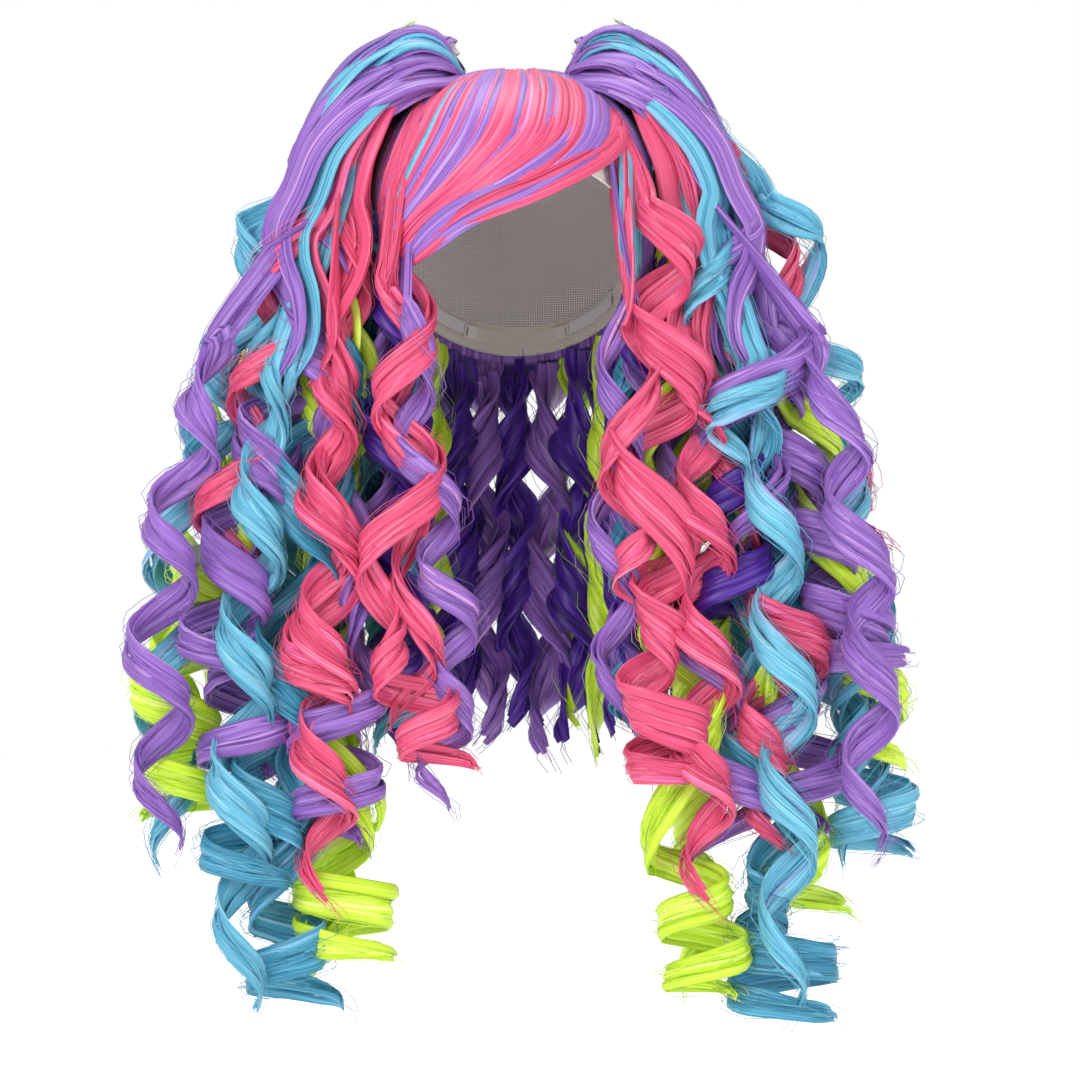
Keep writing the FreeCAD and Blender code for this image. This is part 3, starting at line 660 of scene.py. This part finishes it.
def make_arches():
    """The thick sweep over each base, in an outer and an inner layer of broad locks."""
    for name, side in SIDES.items():
        rng = random.Random(5 + side)
        layers = {"lavender": [], "sky": [], "pink": [], "yellow": []}
        for row, (layer, count) in enumerate(((1.0, 9), (0.75, 8), (0.45, 7), (0.1, 6))):
            for i in range(count):
                lane = -1 + 2 * i / (count - 1) + rng.uniform(-0.05, 0.05)
                points, outs = arch_root(side, lane, layer + rng.uniform(-0.05, 0.05))
                last, bow = points[-1], rng.choice((-1, 1)) * rng.uniform(7, 11)
                facing = Vector((side * 0.7, -0.5 if lane < 0.3 else 0.5, 0.0)).normalized()
                for k in range(1, 6):
                    sway = bow * math.sin(k * 1.25)
                    points.append(last + Vector((side * (2 * k + sway), -3 * k + 0.5 * sway, -23 * k)))
                    outs.append(facing)
                pick = rng.random()
                colour = "sky" if (row == 0 and i in (2, 5)) or (row == 1 and i in (0, 4)) else "lavender"
                if row == 2:
                    colour = "pink" if i < 4 else "lavender"
                if row == 3:
                    colour = "yellow" if i == 1 else "pink"
                layers[colour].append(Guide(points, outs, 9.5 + 2 * pick, 0.5, 0.1, 0.35))
        make_layers(name + "_arch_{}", layers, f"{name}_tail", 31, {"lavender": [f"{name}_tail_arch"]},
                    Ribbons=4, Wander=1.8 * MM, Stagger=2 * MM, Loose_Fibres=6)


def make_wraps():
    """The hair wound over each clip, which hides the claw: it stays with the clip when the tail swings."""
    for i, (name, side) in enumerate(SIDES.items()):
        rng = random.Random(9 + side)
        layers = {"lavender": [], "sky": []}
        for row, (layer, count) in enumerate(((0.85, 9), (0.5, 9), (0.15, 8))):
            for k in range(count):
                lane = -1 + 2 * k / (count - 1) + rng.uniform(-0.04, 0.04)
                points, outs = arch_root(side, lane, layer, 0)
                points.insert(0, points[0] + Vector((-5.5 * side, -0.4 * points[0].y, -5 - 3 * abs(lane))))
                outs.insert(0, outs[0])
                colour = "sky" if (row, k) in ((0, 2), (0, 6), (1, 3)) else "lavender"
                layers[colour].append(Guide(points[:6], outs[:6], 9.0, 0.5, 0.35, 0.3))
        make_layers(name + "_wound_{}", layers, f"{name}_ponytail", 131 + 2 * i,
                    Ribbons=3, Wander=0.6 * MM, Stagger=1 * MM, Loose_Fibres=3)


# ---- the base wig's hair


def base_ringlet(start, turns, y_foot, half, hand):
    """A lock of the base wig: it leaves the crown at start (down, turn) and falls through its turns."""
    points, outs = met(on_crown(down, start[1], 0.5) for down in start[0])
    turns = alternating(turns)
    depth = fall_between(points[-1].y, y_foot, points[-1].z, turns[-1][1])
    more, ways = wave(turns, depth, hand)
    return Guide(points + more, outs + ways, half, 0.15)


# Each lock: ((steps down the crown, turn round it), depth at the tip, half width, hand, turning points).
BASE_LOCKS = {
    "face_pink": ("pink", "face_lock_pink", [
        (((70, 85), -133), -86, 10.5, -1, [(-72, -114), (-50, -153), (-82, -195), (-44, -240), (-90, -291),
         (-68, -335), (-82, -362), (-36, -378), (-68, -400), (-24, -412)]),
        (((70, 85), -126), -80, 7.5, 1, [(-80, -120), (-58, -160), (-78, -205), (-52, -250), (-70, -300),
         (-46, -350), (-72, -385)]),
        (((68, 82), 130), -88, 12, 1, [(75, -75), (106, -111), (74, -147), (111, -189), (60, -225), (86, -262),
         (104, -291), (74, -315), (96, -345), (66, -374), (112, -396), (68, -412), (106, -418)]),
        (((72, 86), 136), -82, 8.5, -1, [(68, -140), (84, -180), (54, -237), (80, -273), (62, -300),
         (84, -326)]),
    ]),
    "face_lavender": ("lavender", "face_lock_lavender", [
        (((72, 88), -138), -74, 8, 1, [(-66, -130), (-50, -183), (-70, -220), (-34, -262), (-56, -296),
         (-23, -326), (-46, -356), (-26, -386), (-58, -412), (-40, -436)]),
        (((72, 88), 140), -74, 8, -1, [(70, -130), (52, -180), (74, -225), (46, -270), (72, -312), (50, -350),
         (70, -390)]),
    ]),
    "neck_purple": ("purple", "neck_lock_purple", [
        (((80, 95), -108), -48, 11, 1, [(-84, -129), (-64, -159), (-90, -207), (-62, -243), (-86, -300),
         (-54, -340), (-80, -368)]),
        (((80, 95), -100), -38, 10, -1, [(-70, -150), (-88, -195), (-66, -240), (-88, -285), (-60, -325),
         (-84, -360)]),
        (((80, 95), 108), -56, 12, -1, [(90, -150), (111, -207), (148, -234), (118, -261), (152, -288),
         (110, -315), (160, -322)]),
        (((80, 95), 100), -40, 11, 1, [(70, -150), (90, -195), (66, -240), (92, -285), (64, -325),
         (88, -362)]),
    ]),
    "side_teal": ("teal", "side_lock_teal", [
        (((78, 92), -92), 0, 11, -1, [(-88, -140), (-66, -190), (-90, -240), (-64, -290), (-88, -335),
         (-62, -375), (-84, -400)]),
        (((78, 92), 92), 0, 11, 1, [(88, -140), (66, -190), (90, -240), (64, -290), (88, -335), (62, -375),
         (84, -400)]),
    ]),
}


def make_base_locks():
    for i, (name, (colour, node, specs)) in enumerate(BASE_LOCKS.items()):
        guides = [base_ringlet(start, turns, y_foot, half, hand) for start, y_foot, half, hand, turns in specs]
        make_locks(name + "_locks", guides, colour, "cap", 51 + i, [f"right_{node}", f"left_{node}"],
                   Wander=2.4 * MM, Loose_Fibres=10)


def spines(node, levels=7):
    """The middle line and radius, in mm, of each separate lock of a CAD node, from its top down."""
    work = welded(node)
    seen, found = set(), []
    for first in work.verts:
        if first in seen:
            continue
        group, edge_set = [first], set()
        seen.add(first)
        for v in group:
            for e in v.link_edges:
                edge_set.add(e)
                other = e.other_vert(v)
                if other not in seen:
                    seen.add(other)
                    group.append(other)
        top, foot = max(v.co.z for v in group), min(v.co.z for v in group)
        line = []
        for k in range(levels):
            z = top + (foot - top) * (0.01 + 0.98 * k / (levels - 1))
            cut = []
            for e in edge_set:
                a, b = e.verts[0].co, e.verts[1].co
                if (a.z - z) * (b.z - z) < 0:
                    cut.append(a.lerp(b, (z - a.z) / (b.z - a.z)))
            low = Vector(min(p[i] for p in cut) for i in range(3))
            high = Vector(max(p[i] for p in cut) for i in range(3))
            line.append(((low + high) / 2 / MM, (high.x - low.x) / 2 / MM))
        found.append(line)
    work.free()
    return found


def ringlet_down(line, rng, half):
    """A ringlet that fills a lock's space down its middle line."""
    centres = [c for c, _ in line]
    top, foot = centres[0].z, centres[-1].z
    count = max(4, round((top - foot) / rng.uniform(38, 46)))
    spin = rng.choice((-1, 1))
    phase = rng.uniform(0, 2 * math.pi)
    points, outs = [], []
    steps = count * TURN_STEPS
    for i in range(steps + 1):
        s = i / steps
        k = min(len(line) - 2, int(s * (len(line) - 1)))
        f = s * (len(line) - 1) - k
        c = centres[k].lerp(centres[k + 1], f)
        r = (line[k][1] * (1 - f) + line[k + 1][1] * f) * 0.78
        a = phase + spin * math.pi * count * s
        ease = min(1.0, s * 4)
        way = Vector((math.cos(a), math.sin(a), 0))
        points.append(c + way * r * ease)
        outs.append(way)
    return Guide(points, outs, half, 0.15)


# The back curtain's colours, from the wearer's right round the back to the left: outside and against the neck.
CURTAIN_OUTSIDE = ("lavender purple teal lavender yellow purple lavender purple "
                   "lavender yellow purple lavender teal purple lavender")
CURTAIN_INSIDE = ("purple lavender purple yellow purple lavender purple "
                  "lavender purple yellow purple lavender purple")
CURTAIN_TURN = 100
CURTAIN_WAVE = 46
INNER_CURTAIN = 0.93


def curtain_lock(turn, inset, foot, rng, index):
    """A lock that leaves the crown low at the back and hangs in long open turns down to foot."""
    a = math.radians(turn)
    low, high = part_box("crown_hair")
    outward = Vector((math.sin(a), math.cos(a), 0))
    edge = low.z / MM + 58 * (1 - math.cos(a)) ** 1.2
    points, outs = [], []
    for down in (62, 75, 88, 98, 106, 112, 117):
        p, way = on_crown(down, turn, 1.2) if inset == 1 else (None, None)
        if p is not None and p.z > edge + 4:
            points.append(p)
            outs.append(way)
    x, y = high.x / MM * math.sin(a), high.y / MM * math.cos(a)
    top = edge - (6 if inset == 1 else 2)
    count = max(3, round((top - foot) / CURTAIN_WAVE))
    heading = math.atan2(outward.y, outward.x)
    spin = 1 if turn > 0 else -1
    for i in range(count * TURN_STEPS + 1):
        s = i / (count * TURN_STEPS)
        bend = heading + spin * math.pi * (count * s + 0.05 * rng.random())
        r = (7.5 + (index % 3)) * min(1.0, s * 4)
        way = Vector((math.cos(bend), math.sin(bend), 0))
        centre = Vector((x * inset, y * inset, top + (foot - top) * s))
        points.append(centre + (way - outward * 0.4) * r)
        outs.append(way)
    return Guide(points, outs, 12.0, 0.2)


def make_back_locks():
    """The curtain of ringlets round the back of the head, in an outer and an inner layer."""
    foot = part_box("back_locks_purple")[0].z / MM
    guides = {"lavender": [], "purple": [], "yellow": [], "teal": []}
    rng = random.Random(70)
    for colours, inset in ((CURTAIN_OUTSIDE.split(), 1), (CURTAIN_INSIDE.split(), INNER_CURTAIN)):
        for k, colour in enumerate(colours):
            turn = CURTAIN_TURN * (2 * k / (len(colours) - 1) - 1) * (1 if inset == 1 else 0.9)
            guides[colour].append(curtain_lock(turn, inset, foot + rng.uniform(2, 44), rng, k))
    replaces = {colour: [f"back_locks_{colour}"] for colour in guides if colour != "teal"}
    make_layers("back_{}_curtain", guides, "cap", 61, replaces, Ribbons=4, Wander=2.4 * MM, Loose_Fibres=10)


SKIN_CENTRE = Vector((0, 0, -0.08))
HEAD_RADIUS = 0.09


def skin_from(node, name, colour, shrink):
    """A closed layer of hair just inside a CAD node's outer surface, for the locks to lie on."""
    work = welded(node)
    for v in work.verts:
        v.co -= (v.co - SKIN_CENTRE).normalized() * shrink * MM
    mesh = mesh_of(work, name)
    store_fields(mesh, {"across": [math.atan2(v.co.x, v.co.y) * HEAD_RADIUS for v in mesh.vertices],
                        "along": [v.co.z for v in mesh.vertices], "tint": [0.4] * len(mesh.vertices)})
    mesh.materials.clear()
    mesh.materials.append(FIBRES[colour])
    for p in mesh.polygons:
        p.use_smooth = True
        p.material_index = 0
    piece = link_object(name, mesh)
    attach(piece, "cap")
    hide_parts(node)


CROWN_LOCKS = 150


def make_crown():
    """Smooth hair combed from the top of the head down to the cap's edge."""
    rng = random.Random(21)
    layers = {"lavender": [], "pink": [], "sky": []}
    for i in range(CROWN_LOCKS):
        turn = -122 + 244 * i / (CROWN_LOCKS - 1) + rng.uniform(-0.8, 0.8)
        points, outs = [], []
        sway, rise = rng.uniform(-3, 3), rng.uniform(0.2, 1.0)
        for k in range(12):
            down = 6 + k * 10.5 + rng.uniform(-1, 1)
            p, way = on_crown(down, turn * (0.7 + 0.3 * min(1, k / 3)) + sway * math.sin(k * 0.6), rise)
            if p is None or (k > 2 and p.z > points[-1].z):
                break
            points.append(p)
            outs.append(way)
        if len(points) < 5:
            continue
        colour = rng.choices(("lavender", "pink", "sky"), (6, 3, 1.4))[0]
        layers[colour].append(Guide(points, outs, 5.2 + 1.6 * rng.random(), 0.3))
    make_layers("crown_{}_hair", layers, "cap", 81,
                Ribbons=1, Flatness=0.24, Wander=0.5 * MM, Stagger=0.0, Step=8 * MM, Loose_Fibres=2)


FRINGE_LOCKS = 84
# The fringe's first and last strands, (x, z) in mm: its other strands lie between them.
FRINGE_TOP = [(-44, 4), (-62, -14), (-76, -42), (-84, -70), (-87, -98), (-86, -121)]
FRINGE_BROW = [(46, 6), (61, -14), (58, -42), (22, -67), (-30, -89), (-70, -120)]


def catmull(points, count):
    """count points on a smooth line through the points."""
    ends = [points[0] * 2 - points[1]] + points + [points[-1] * 2 - points[-2]]
    line = []
    for i in range(count):
        s = i / (count - 1) * (len(points) - 1)
        k = min(int(s), len(points) - 2)
        f = s - k
        a, b, c, d = ends[k:k + 4]
        line.append(0.5 * ((2 * b) + (c - a) * f + (2 * a - 5 * b + 4 * c - d) * f ** 2
                           + (3 * b - a - 3 * c + d) * f ** 3))
    return line


def make_fringe():
    """The swept fringe: from the crown's top line over the brow, down to the wearer's right cheek."""
    rng = random.Random(33)
    layers = {"pink": [], "lavender": [], "sky": []}
    for i in range(FRINGE_LOCKS):
        t = (i / (FRINGE_LOCKS - 1)) ** 0.9
        knots = [Vector((a[0] + (b[0] - a[0]) * t, 0, a[1] + (b[1] - a[1]) * t))
                 for a, b in zip(FRINGE_TOP, FRINGE_BROW)]
        reach, rise, shift = rng.uniform(0.92, 1.0), rng.uniform(0.3, 1.3), rng.uniform(-0.5, 0.5)
        points, outs = [], []
        for p in catmull(knots, 15):
            q, away = on_front(p.x + shift, p.z, rise)
            shrink = 1.0
            while q is None and shrink > 0.9:
                shrink -= 0.01
                q, away = on_front(p.x * shrink, p.z * shrink - (1 - shrink) * 60, rise)
            if q is not None:
                points.append(q)
                outs.append(away)
        points = points[:max(5, int(len(points) * reach + 0.5))]
        outs = outs[:len(points)]
        if len(points) < 5:
            continue
        weights = (5, 3, 1.2) if 0.15 < t < 0.85 else (4, 4, 0.6)
        colour = rng.choices(("pink", "lavender", "sky"), weights)[0]
        layers[colour].append(Guide(points, outs, 4.2 + 2.0 * rng.random(), 0.2))
    make_layers("fringe_{}_hair", layers, "cap", 91,
                Ribbons=2, Flatness=0.22, Wander=0.4 * MM, Stagger=3 * MM, Loose_Fibres=4)


TEMPLE_LOCKS = 16


def make_temple():
    """Straight strands beside the face, under the wearer's left clip."""
    rng = random.Random(44)
    layers = {"sky": [], "pink": [], "lavender": []}
    for i in range(TEMPLE_LOCKS):
        x0 = 66 + 17 * i / (TEMPLE_LOCKS - 1)
        points, outs = met(on_front(min(x0 + 0.02 * k * k, 84.5), -34 - k * 12.5, 0.6) for k in range(9))
        if len(points) < 4:
            continue
        colour = rng.choices(("sky", "lavender", "pink"), (5, 2, 3))[0]
        layers[colour].append(Guide(points, outs, 3.4 + rng.random(), 0.4))
    make_layers("left_temple_{}_hair", layers, "cap", 101,
                Ribbons=2, Flatness=0.22, Wander=1.2 * MM, Stagger=4 * MM, Loose_Fibres=4)


# ---- the cap and the clips


WEAR = 1 / 90  # metres: how far apart the faint stains in cloth are
NAP_SHARE = 0.2


def repeats(tree, length):
    """Object coordinates counted in repeats of a pattern, whose length is in metres."""
    place = add(tree, "ShaderNodeTexCoord", out="Object")
    return add(tree, VECTOR, place, (1 / length,) * 3, operation="MULTIPLY")


def woven(name, gap_shade, light, spacing, roughness, bump_depth, directions=("X", "Z"), **sockets):
    """Cloth of two sets of threads: spacing apart, with painted shade in the gaps and the cloth's own light
    colour on top.
    """
    material, tree, shader = new_material(name, Roughness=roughness, **sockets)
    place = repeats(tree, spacing)
    warp, weft = (add(tree, "ShaderNodeTexWave", {"Vector": place, "Scale": 0.5}, out="Fac", bands_direction=way)
                  for way in directions)
    threads = add(tree, MATH, warp, weft, operation="MAXIMUM")
    worn = add(tree, NOISE, {"Vector": repeats(tree, WEAR), "Detail": 3.0}, out="Fac")
    tone = add(tree, MIX, {0: NAP_SHARE, 2: threads, 3: worn})
    # The darker stop is painted shade in the gaps between the threads; on the net it also stands for the hair's
    # roots seen through the holes.
    connect(tree, shader, {
        "Base Color": add(tree, RAMP, tone, stops=[(0.25, gap_shade), (0.62, light)]),
        "Normal": add(tree, BUMP, {"Height": threads, "Strength": 0.7, "Distance": bump_depth})})
    return material


def moulded(name, colour, lighter, roughness, grain, **sockets):
    """A moulded or drawn surface: a faint grain in its colour, gloss and height."""
    material, tree, shader = new_material(name, **sockets)
    noise = add(tree, NOISE, {"Vector": repeats(tree, grain), "Detail": 4.0}, out="Fac")
    connect(tree, shader, {
        "Base Color": add(tree, RAMP, noise, stops=[(0.35, colour), (0.75, lighter)]),
        "Roughness": add(tree, RANGE, noise, 0.0, 1.0, roughness - 0.08, roughness + 0.12),
        "Normal": add(tree, BUMP, {"Height": noise, "Strength": 0.25, "Distance": 0.05 * MM})})
    return material


# The finish of each kind of CAD piece. Threads too fine to see are drawn wide enough to show.
FINISHES = {
    # Stretch net: knitted polyester mesh, drawn 2.4 mm apart, through which the dyed hair's roots show; its dark
    # gaps also carry painted shade.
    "net": woven("knitted_polyester_net", "#6A5A78", "#E4DED6", 2.4 * MM, 0.8, 0.5 * MM, Sheen_Weight=0.2),
    # Cotton twill band: matt cream tape with a diagonal thread, drawn 1.2 mm apart.
    "band": woven("cotton_twill_band", "#B9AA98", "#EFE6DA", 1.2 * MM, 0.9, 0.3 * MM, ("DIAGONAL", "Z"),
                  Sheen_Weight=0.3),
    # Soft tulle parting patch: skin-coloured fine mesh, drawn 1 mm apart.
    "scalp": woven("skin_tone_tulle", "#B98F74", "#E8C9AE", 1.0 * MM, 0.75, 0.2 * MM),
    # Machine-sewn weft: rows of stitched fibre roots, drawn 1.5 mm apart.
    "weft": woven("sewn_lavender_weft", "#4F3470", "#A67FC9", 1.5 * MM, 0.55, 0.4 * MM, ("X", "Y")),
    # Aluminium stay: soft bent strip, satin where it was rolled.
    "stay": moulded("rolled_aluminium", "#B9BABC", "#DCDDDF", 0.36, 0.8 * MM, Metallic=1.0),
    # Knitted elastic strap: white rubber-cored ribs, drawn 1.1 mm apart.
    "strap": woven("knitted_elastic", "#A9A7A4", "#F0EEEA", 1.1 * MM, 0.85, 0.3 * MM, ("Z", "X")),
    # Nylon hook: injection moulded, slightly milky.
    "hook": moulded("moulded_nylon", "#DCD8CE", "#F0EDE6", 0.42, 2.5 * MM, Subsurface_Weight=0.08),
    # Black ABS claw: glossy moulded plastic with fine scuffs.
    "claw": moulded("moulded_black_abs", "#0B0B0D", "#1E1D22", 0.28, 4.0 * MM, Coat_Weight=0.2),
    # Zinc-plated steel pin and spring: bright, with drawn-wire grain.
    "pin": moulded("zinc_plated_steel", "#8E9195", "#C6C9CC", 0.3, 0.5 * MM, Metallic=1.0),
    # Stiff cream buckram under the ponytail, with open threads, drawn 1.8 mm apart.
    "tail_base": woven("cream_buckram", "#A08F74", "#F1E7D2", 1.8 * MM, 0.85, 0.4 * MM, ("X", "Y")),
}
CAP_PIECES = {"crown_net": "net", "front_band": "band", "nape_band": "band", "scalp_patch": "scalp",
              **{f"weft_row_{i + 1}": "weft" for i in range(6)}}
SIDE_PIECES = {"ear_tab": "band", "ear_stay": "stay", "loop_tape": "band", "strap_hook": "hook",
               "claw_front_jaw": "claw", "claw_rear_jaw": "claw", "claw_pin": "pin", "claw_spring": "pin",
               "tail_base": "tail_base", "tail_weft_coil": "weft"}


def finish_cap_and_clips():
    both_sides = {f"{side}_{piece}": kind for side in SIDES for piece, kind in SIDE_PIECES.items()}
    for node, kind in {**CAP_PIECES, **both_sides}.items():
        for slot in nodes[node].material_slots:
            slot.material = FINISHES[kind]


HOOK_REACH = 3.2 * MM
STRAP_END = 0.8 * MM


def make_straps():
    """The elastic adjusting straps: left as they are at the ear side, and drawn out at the other end a little
    way along the hook's slide.
    """
    for side, sign in SIDES.items():
        piece = link_object(f"{side}_elastic_strap", mesh_of(welded(f"{side}_strap"), f"{side}_elastic_strap"))
        piece.data.materials.clear()
        piece.data.materials.append(FINISHES["strap"])
        low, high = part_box(f"{side}_strap")
        outer, inner = (high.x, low.x) if sign > 0 else (low.x, high.x)
        towards = Vector(joints[f"{side}_hook_slide"]["axis"]).normalized()
        for v in piece.data.vertices:
            if abs(v.co.x - inner) < STRAP_END:
                v.co += towards * HOOK_REACH
        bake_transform(piece)
        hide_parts(f"{side}_strap")


TUFT_LOCKS = 14


def make_tufts():
    """The bunch of hair on the crown that each claw bites."""
    for i, (name, side) in enumerate(SIDES.items()):
        low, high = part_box(f"{name}_grip_tuft")
        middle = (low + high) / 2 / MM
        rng = random.Random(140 + i)
        reach_x, reach_y = (high.x - low.x) / MM / 2 - 5, (high.y - low.y) / MM / 2 - 1.5
        guides = []
        for _ in range(TUFT_LOCKS):
            x = middle.x + rng.uniform(-0.85, 0.85) * reach_x
            y = rng.uniform(-0.6, 0.6) * reach_y
            slope = (x - middle.x) * side * 0.55
            foot = Vector((x, y, middle.z - slope - 6))
            points = [foot + Vector((side * 0.5, 0.15 * y, 2.6)) * n for n in range(5)]
            guides.append(Guide(points, [Vector((0, 1 if y > 0 else -1, 0.1))] * 5, 3.0))
        make_locks(f"{name}_gripped_hair", guides, "lavender", "cap", 121 + i, [f"{name}_grip_tuft"],
                   Ribbons=2, Wander=0.3 * MM, Stagger=1 * MM, Step=2 * MM, Loose_Fibres=2)


finish_cap_and_clips()
make_straps()
make_tufts()
skin_from("crown_hair", "crown_hair_layer", "lavender", 1.2)
skin_from("fringe", "fringe_layer", "mixed", 1.4)
skin_from("left_temple_hair", "left_temple_layer", "sky", 1.2)
make_crown()
make_fringe()
make_temple()
make_tails()
make_arches()
make_wraps()
make_base_locks()
make_back_locks()


# ---- floor, light and camera


WHITE = (1, 1, 1, 1)
FLOOR_RADIUS, FLOOR_DROP = 3.4, 0.04
FLOOR_GLOW = 0.46
WORLD_LIGHT, WORLD_SEEN = 0.55, 1.0
WIG_MIDDLE = Vector((0, 0, -0.25))


def make_stage():
    """A round pale floor: nothing stands up behind the wig, so it can be seen from every side."""
    work = bmesh.new()
    bmesh.ops.create_circle(work, cap_ends=True, segments=96, radius=FLOOR_RADIUS)
    for v in work.verts:
        v.co.z = cad_box[0][2] - FLOOR_DROP
    mesh = mesh_of(work, "studio_floor")
    mesh.materials.append(new_material("studio_paper", Roughness=0.9, Base_Color=(0.85, 0.85, 0.85, 1),
                                       Emission_Color=WHITE, Emission_Strength=FLOOR_GLOW)[0])
    link_object("studio_floor", mesh)


def make_light(name, place, size, power):
    data = bpy.data.lights.new(name, "AREA")
    data.size = size
    data.energy = power
    lamp = link_object(name, data)
    lamp.location = place
    lamp.rotation_euler = (WIG_MIDDLE - Vector(place)).to_track_quat("-Z", "Y").to_euler()


def make_world():
    """White all round: plain to look at, and dimmer as a light, so that the lamps shape the curls."""
    world = bpy.data.worlds.new("studio")
    world.use_nodes = True
    tree = world.node_tree
    seen = add(tree, "ShaderNodeLightPath", out="Is Camera Ray")
    strength = add(tree, RANGE, {"Value": seen, "To Min": WORLD_LIGHT, "To Max": WORLD_SEEN})
    connect(tree, tree.nodes["Background"], {"Color": WHITE, "Strength": strength})
    bpy.context.scene.world = world


def make_camera():
    distance, view_width, front = 2.2, 0.648, -0.06
    data = bpy.data.cameras.new("camera")
    data.sensor_width = 36
    data.lens = data.sensor_width * distance / view_width
    camera = link_object("camera", data)
    camera.location = (0.015, front - distance, -0.279)
    camera.rotation_euler = (math.pi / 2, 0, 0)
    bpy.context.scene.camera = camera


make_stage()
make_light("key", (-1.1, -1.9, 0.9), 1.2, 34)
make_light("fill", (1.5, -1.7, 0.3), 1.4, 14)
make_light("top", (0, 0.3, 1.7), 1.0, 22)
make_world()
bpy.context.scene.view_settings.view_transform = "Standard"
make_camera()
